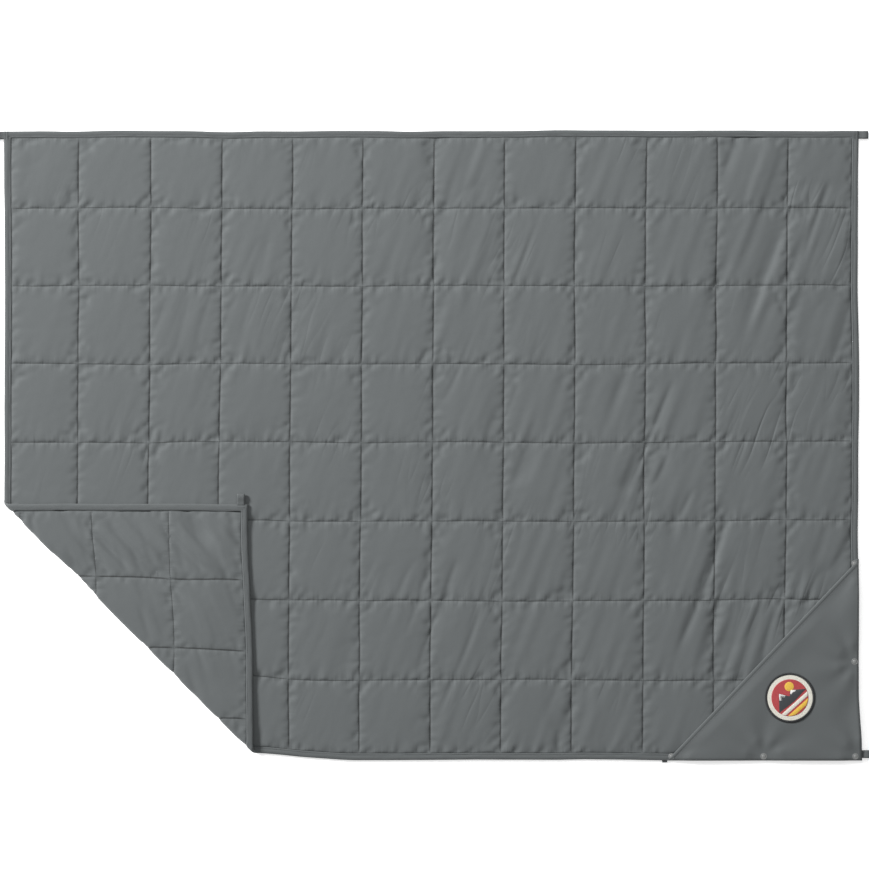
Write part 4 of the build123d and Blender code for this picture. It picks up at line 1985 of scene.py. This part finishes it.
@dataclass
class SnapCaps:
    """The snaps' caps: a dished crown, a groove and a rolled rim."""

    node: str
    body: str
    around: int = 32
    profile: tuple[tuple[float, float], ...] = (
        (6.5, 0.0),
        (6.55, 0.5),
        (6.2, 0.85),
        (5.5, 0.95),
        (5.0, 0.75),
        (4.7, 0.4),
        (4.3, 0.42),
        (3.9, 0.9),
        (3.1, 1.2),
        (1.6, 1.3),
    )

    def build(self) -> None:
        """Turn the profile round every centre."""
        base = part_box(self.node)[0].z
        points, faces = [], []
        for x, y in snap_places(self.node):
            first = len(points)
            for reach, height in self.profile:
                for turn in np.linspace(0, math.tau, self.around, endpoint=False):
                    ring = (x + reach * MM * math.cos(turn), y + reach * MM * math.sin(turn))
                    points.append((*ring, base + height * MM))
            for ring in range(len(self.profile) - 1):
                for i in range(self.around):
                    a, b = first + ring * self.around + i, first + ring * self.around + (i + 1) % self.around
                    faces.append((a, b, b + self.around, a + self.around))
            last = first + (len(self.profile) - 1) * self.around
            faces.append(tuple(range(last, last + self.around)))
            faces.append(tuple(range(first, first + self.around))[::-1])
        points = np.array(points)
        piece = make_object(f"{self.node}_turned", Sheet(points, faces, points[:, :2]), "snap_resin")
        declare(piece, [self.node])
        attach(piece, self.body)


def finish_snaps() -> None:
    """Give the CAD snaps' hidden halves their moulded resin."""
    for node in ("snap_sockets_panel", "snap_sockets_strip", "snap_studs"):
        piece = frame["nodes"][node]
        for slot in piece.material_slots:
            slot.material = MATERIALS["snap_resin"]
        LOG.info("%s: finished", node)


# ---------------------------------------------------------------- studio


@dataclass
class Studio:
    """Pale floor, soft lights and a camera straight above."""

    view_height: float = 1.8616
    centre: tuple[float, float] = (0.0063, -0.001)
    lens: float = 100.0
    sensor: float = 36.0
    floor_half: float = 30.0
    floor_z: float = -0.2 * MM
    sky: float = 0.36

    def build(self) -> None:
        """Make the floor, the lights and the camera."""
        self.floor()
        self.light("key", (-10.0, 5.9, 5.7), 2.8, 3300)
        self.light("overhead", (-0.1, 1.7, 2.6), 2.2, 40)
        world = bpy.data.worlds.new("studio")
        bpy.context.scene.world = world
        world.use_nodes = True
        background = world.node_tree.nodes["Background"]
        background.inputs[0].default_value = (1, 1, 1, 1)
        background.inputs[1].default_value = self.sky
        bpy.context.scene.view_settings.view_transform = "Standard"
        self.camera()

    def floor(self) -> None:
        """A wide flat floor."""
        half = self.floor_half
        corners = ((-half, -half), (half, -half), (half, half), (-half, half))
        points = np.array([(*corner, self.floor_z) for corner in corners])
        piece = make_object("studio_floor", Sheet(points, [(0, 1, 2, 3)], points[:, :2]), "studio_floor")
        LOG.info("studio_floor: laid")

    def light(self, name: str, place: Sequence[float], size: float, power: float) -> None:
        """A square soft light that faces the blanket.

        Args:
            name: The light's name.
            place: Where it stands.
            size: Its side.
            power: Its power in watts.
        """
        data = bpy.data.lights.new(name, "AREA")
        data.shape = "SQUARE"
        data.size = size
        data.energy = power
        lamp = linked(name, data)
        lamp.location = place
        lamp.rotation_euler = (-Vector(place)).to_track_quat("-Z", "Y").to_euler()

    def camera(self) -> None:
        """A long lens straight above the blanket."""
        data = bpy.data.cameras.new("camera")
        data.lens = self.lens
        data.sensor_width = self.sensor
        data.clip_end = 100
        height = self.view_height * self.lens / self.sensor
        camera = linked("camera", data)
        camera.location = (*self.centre, height)
        bpy.context.scene.camera = camera


def main() -> None:
    """Build the blanket and its studio."""
    logging.basicConfig(level=logging.INFO, format="%(name)s %(message)s")
    stock_materials()
    quilt = Quilt(PLAN, FOLD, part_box("face_cloth_right")[1].z)
    quilt.build()
    binding = Binding(PLAN, FOLD)
    binding.build()
    binding.tape_end()
    SeamStitches(quilt).build()
    loops = (
        CornerLoop("loop_top_right", "top_right_loop", "right_half", "loop_tacks_top_right"),
        CornerLoop("loop_bottom_right", "bottom_right_loop", "right_half", "loop_tacks_bottom_right"),
        CornerLoop("loop_top_left", "top_left_loop", "left_half", "loop_tacks_top_left"),
        CornerLoop("loop_folded", "folded_loop", "folded_corner", "loop_tacks_folded"),
    )
    for loop in loops:
        loop.build()
    CornerPanel().build()
    Badge().build()
    SnapCaps("snap_caps_panel", "corner_panel").build()
    SnapCaps("snap_caps_strip", "right_half").build()
    finish_snaps()
    Studio().build()


if __name__ == "__main__":
    main()
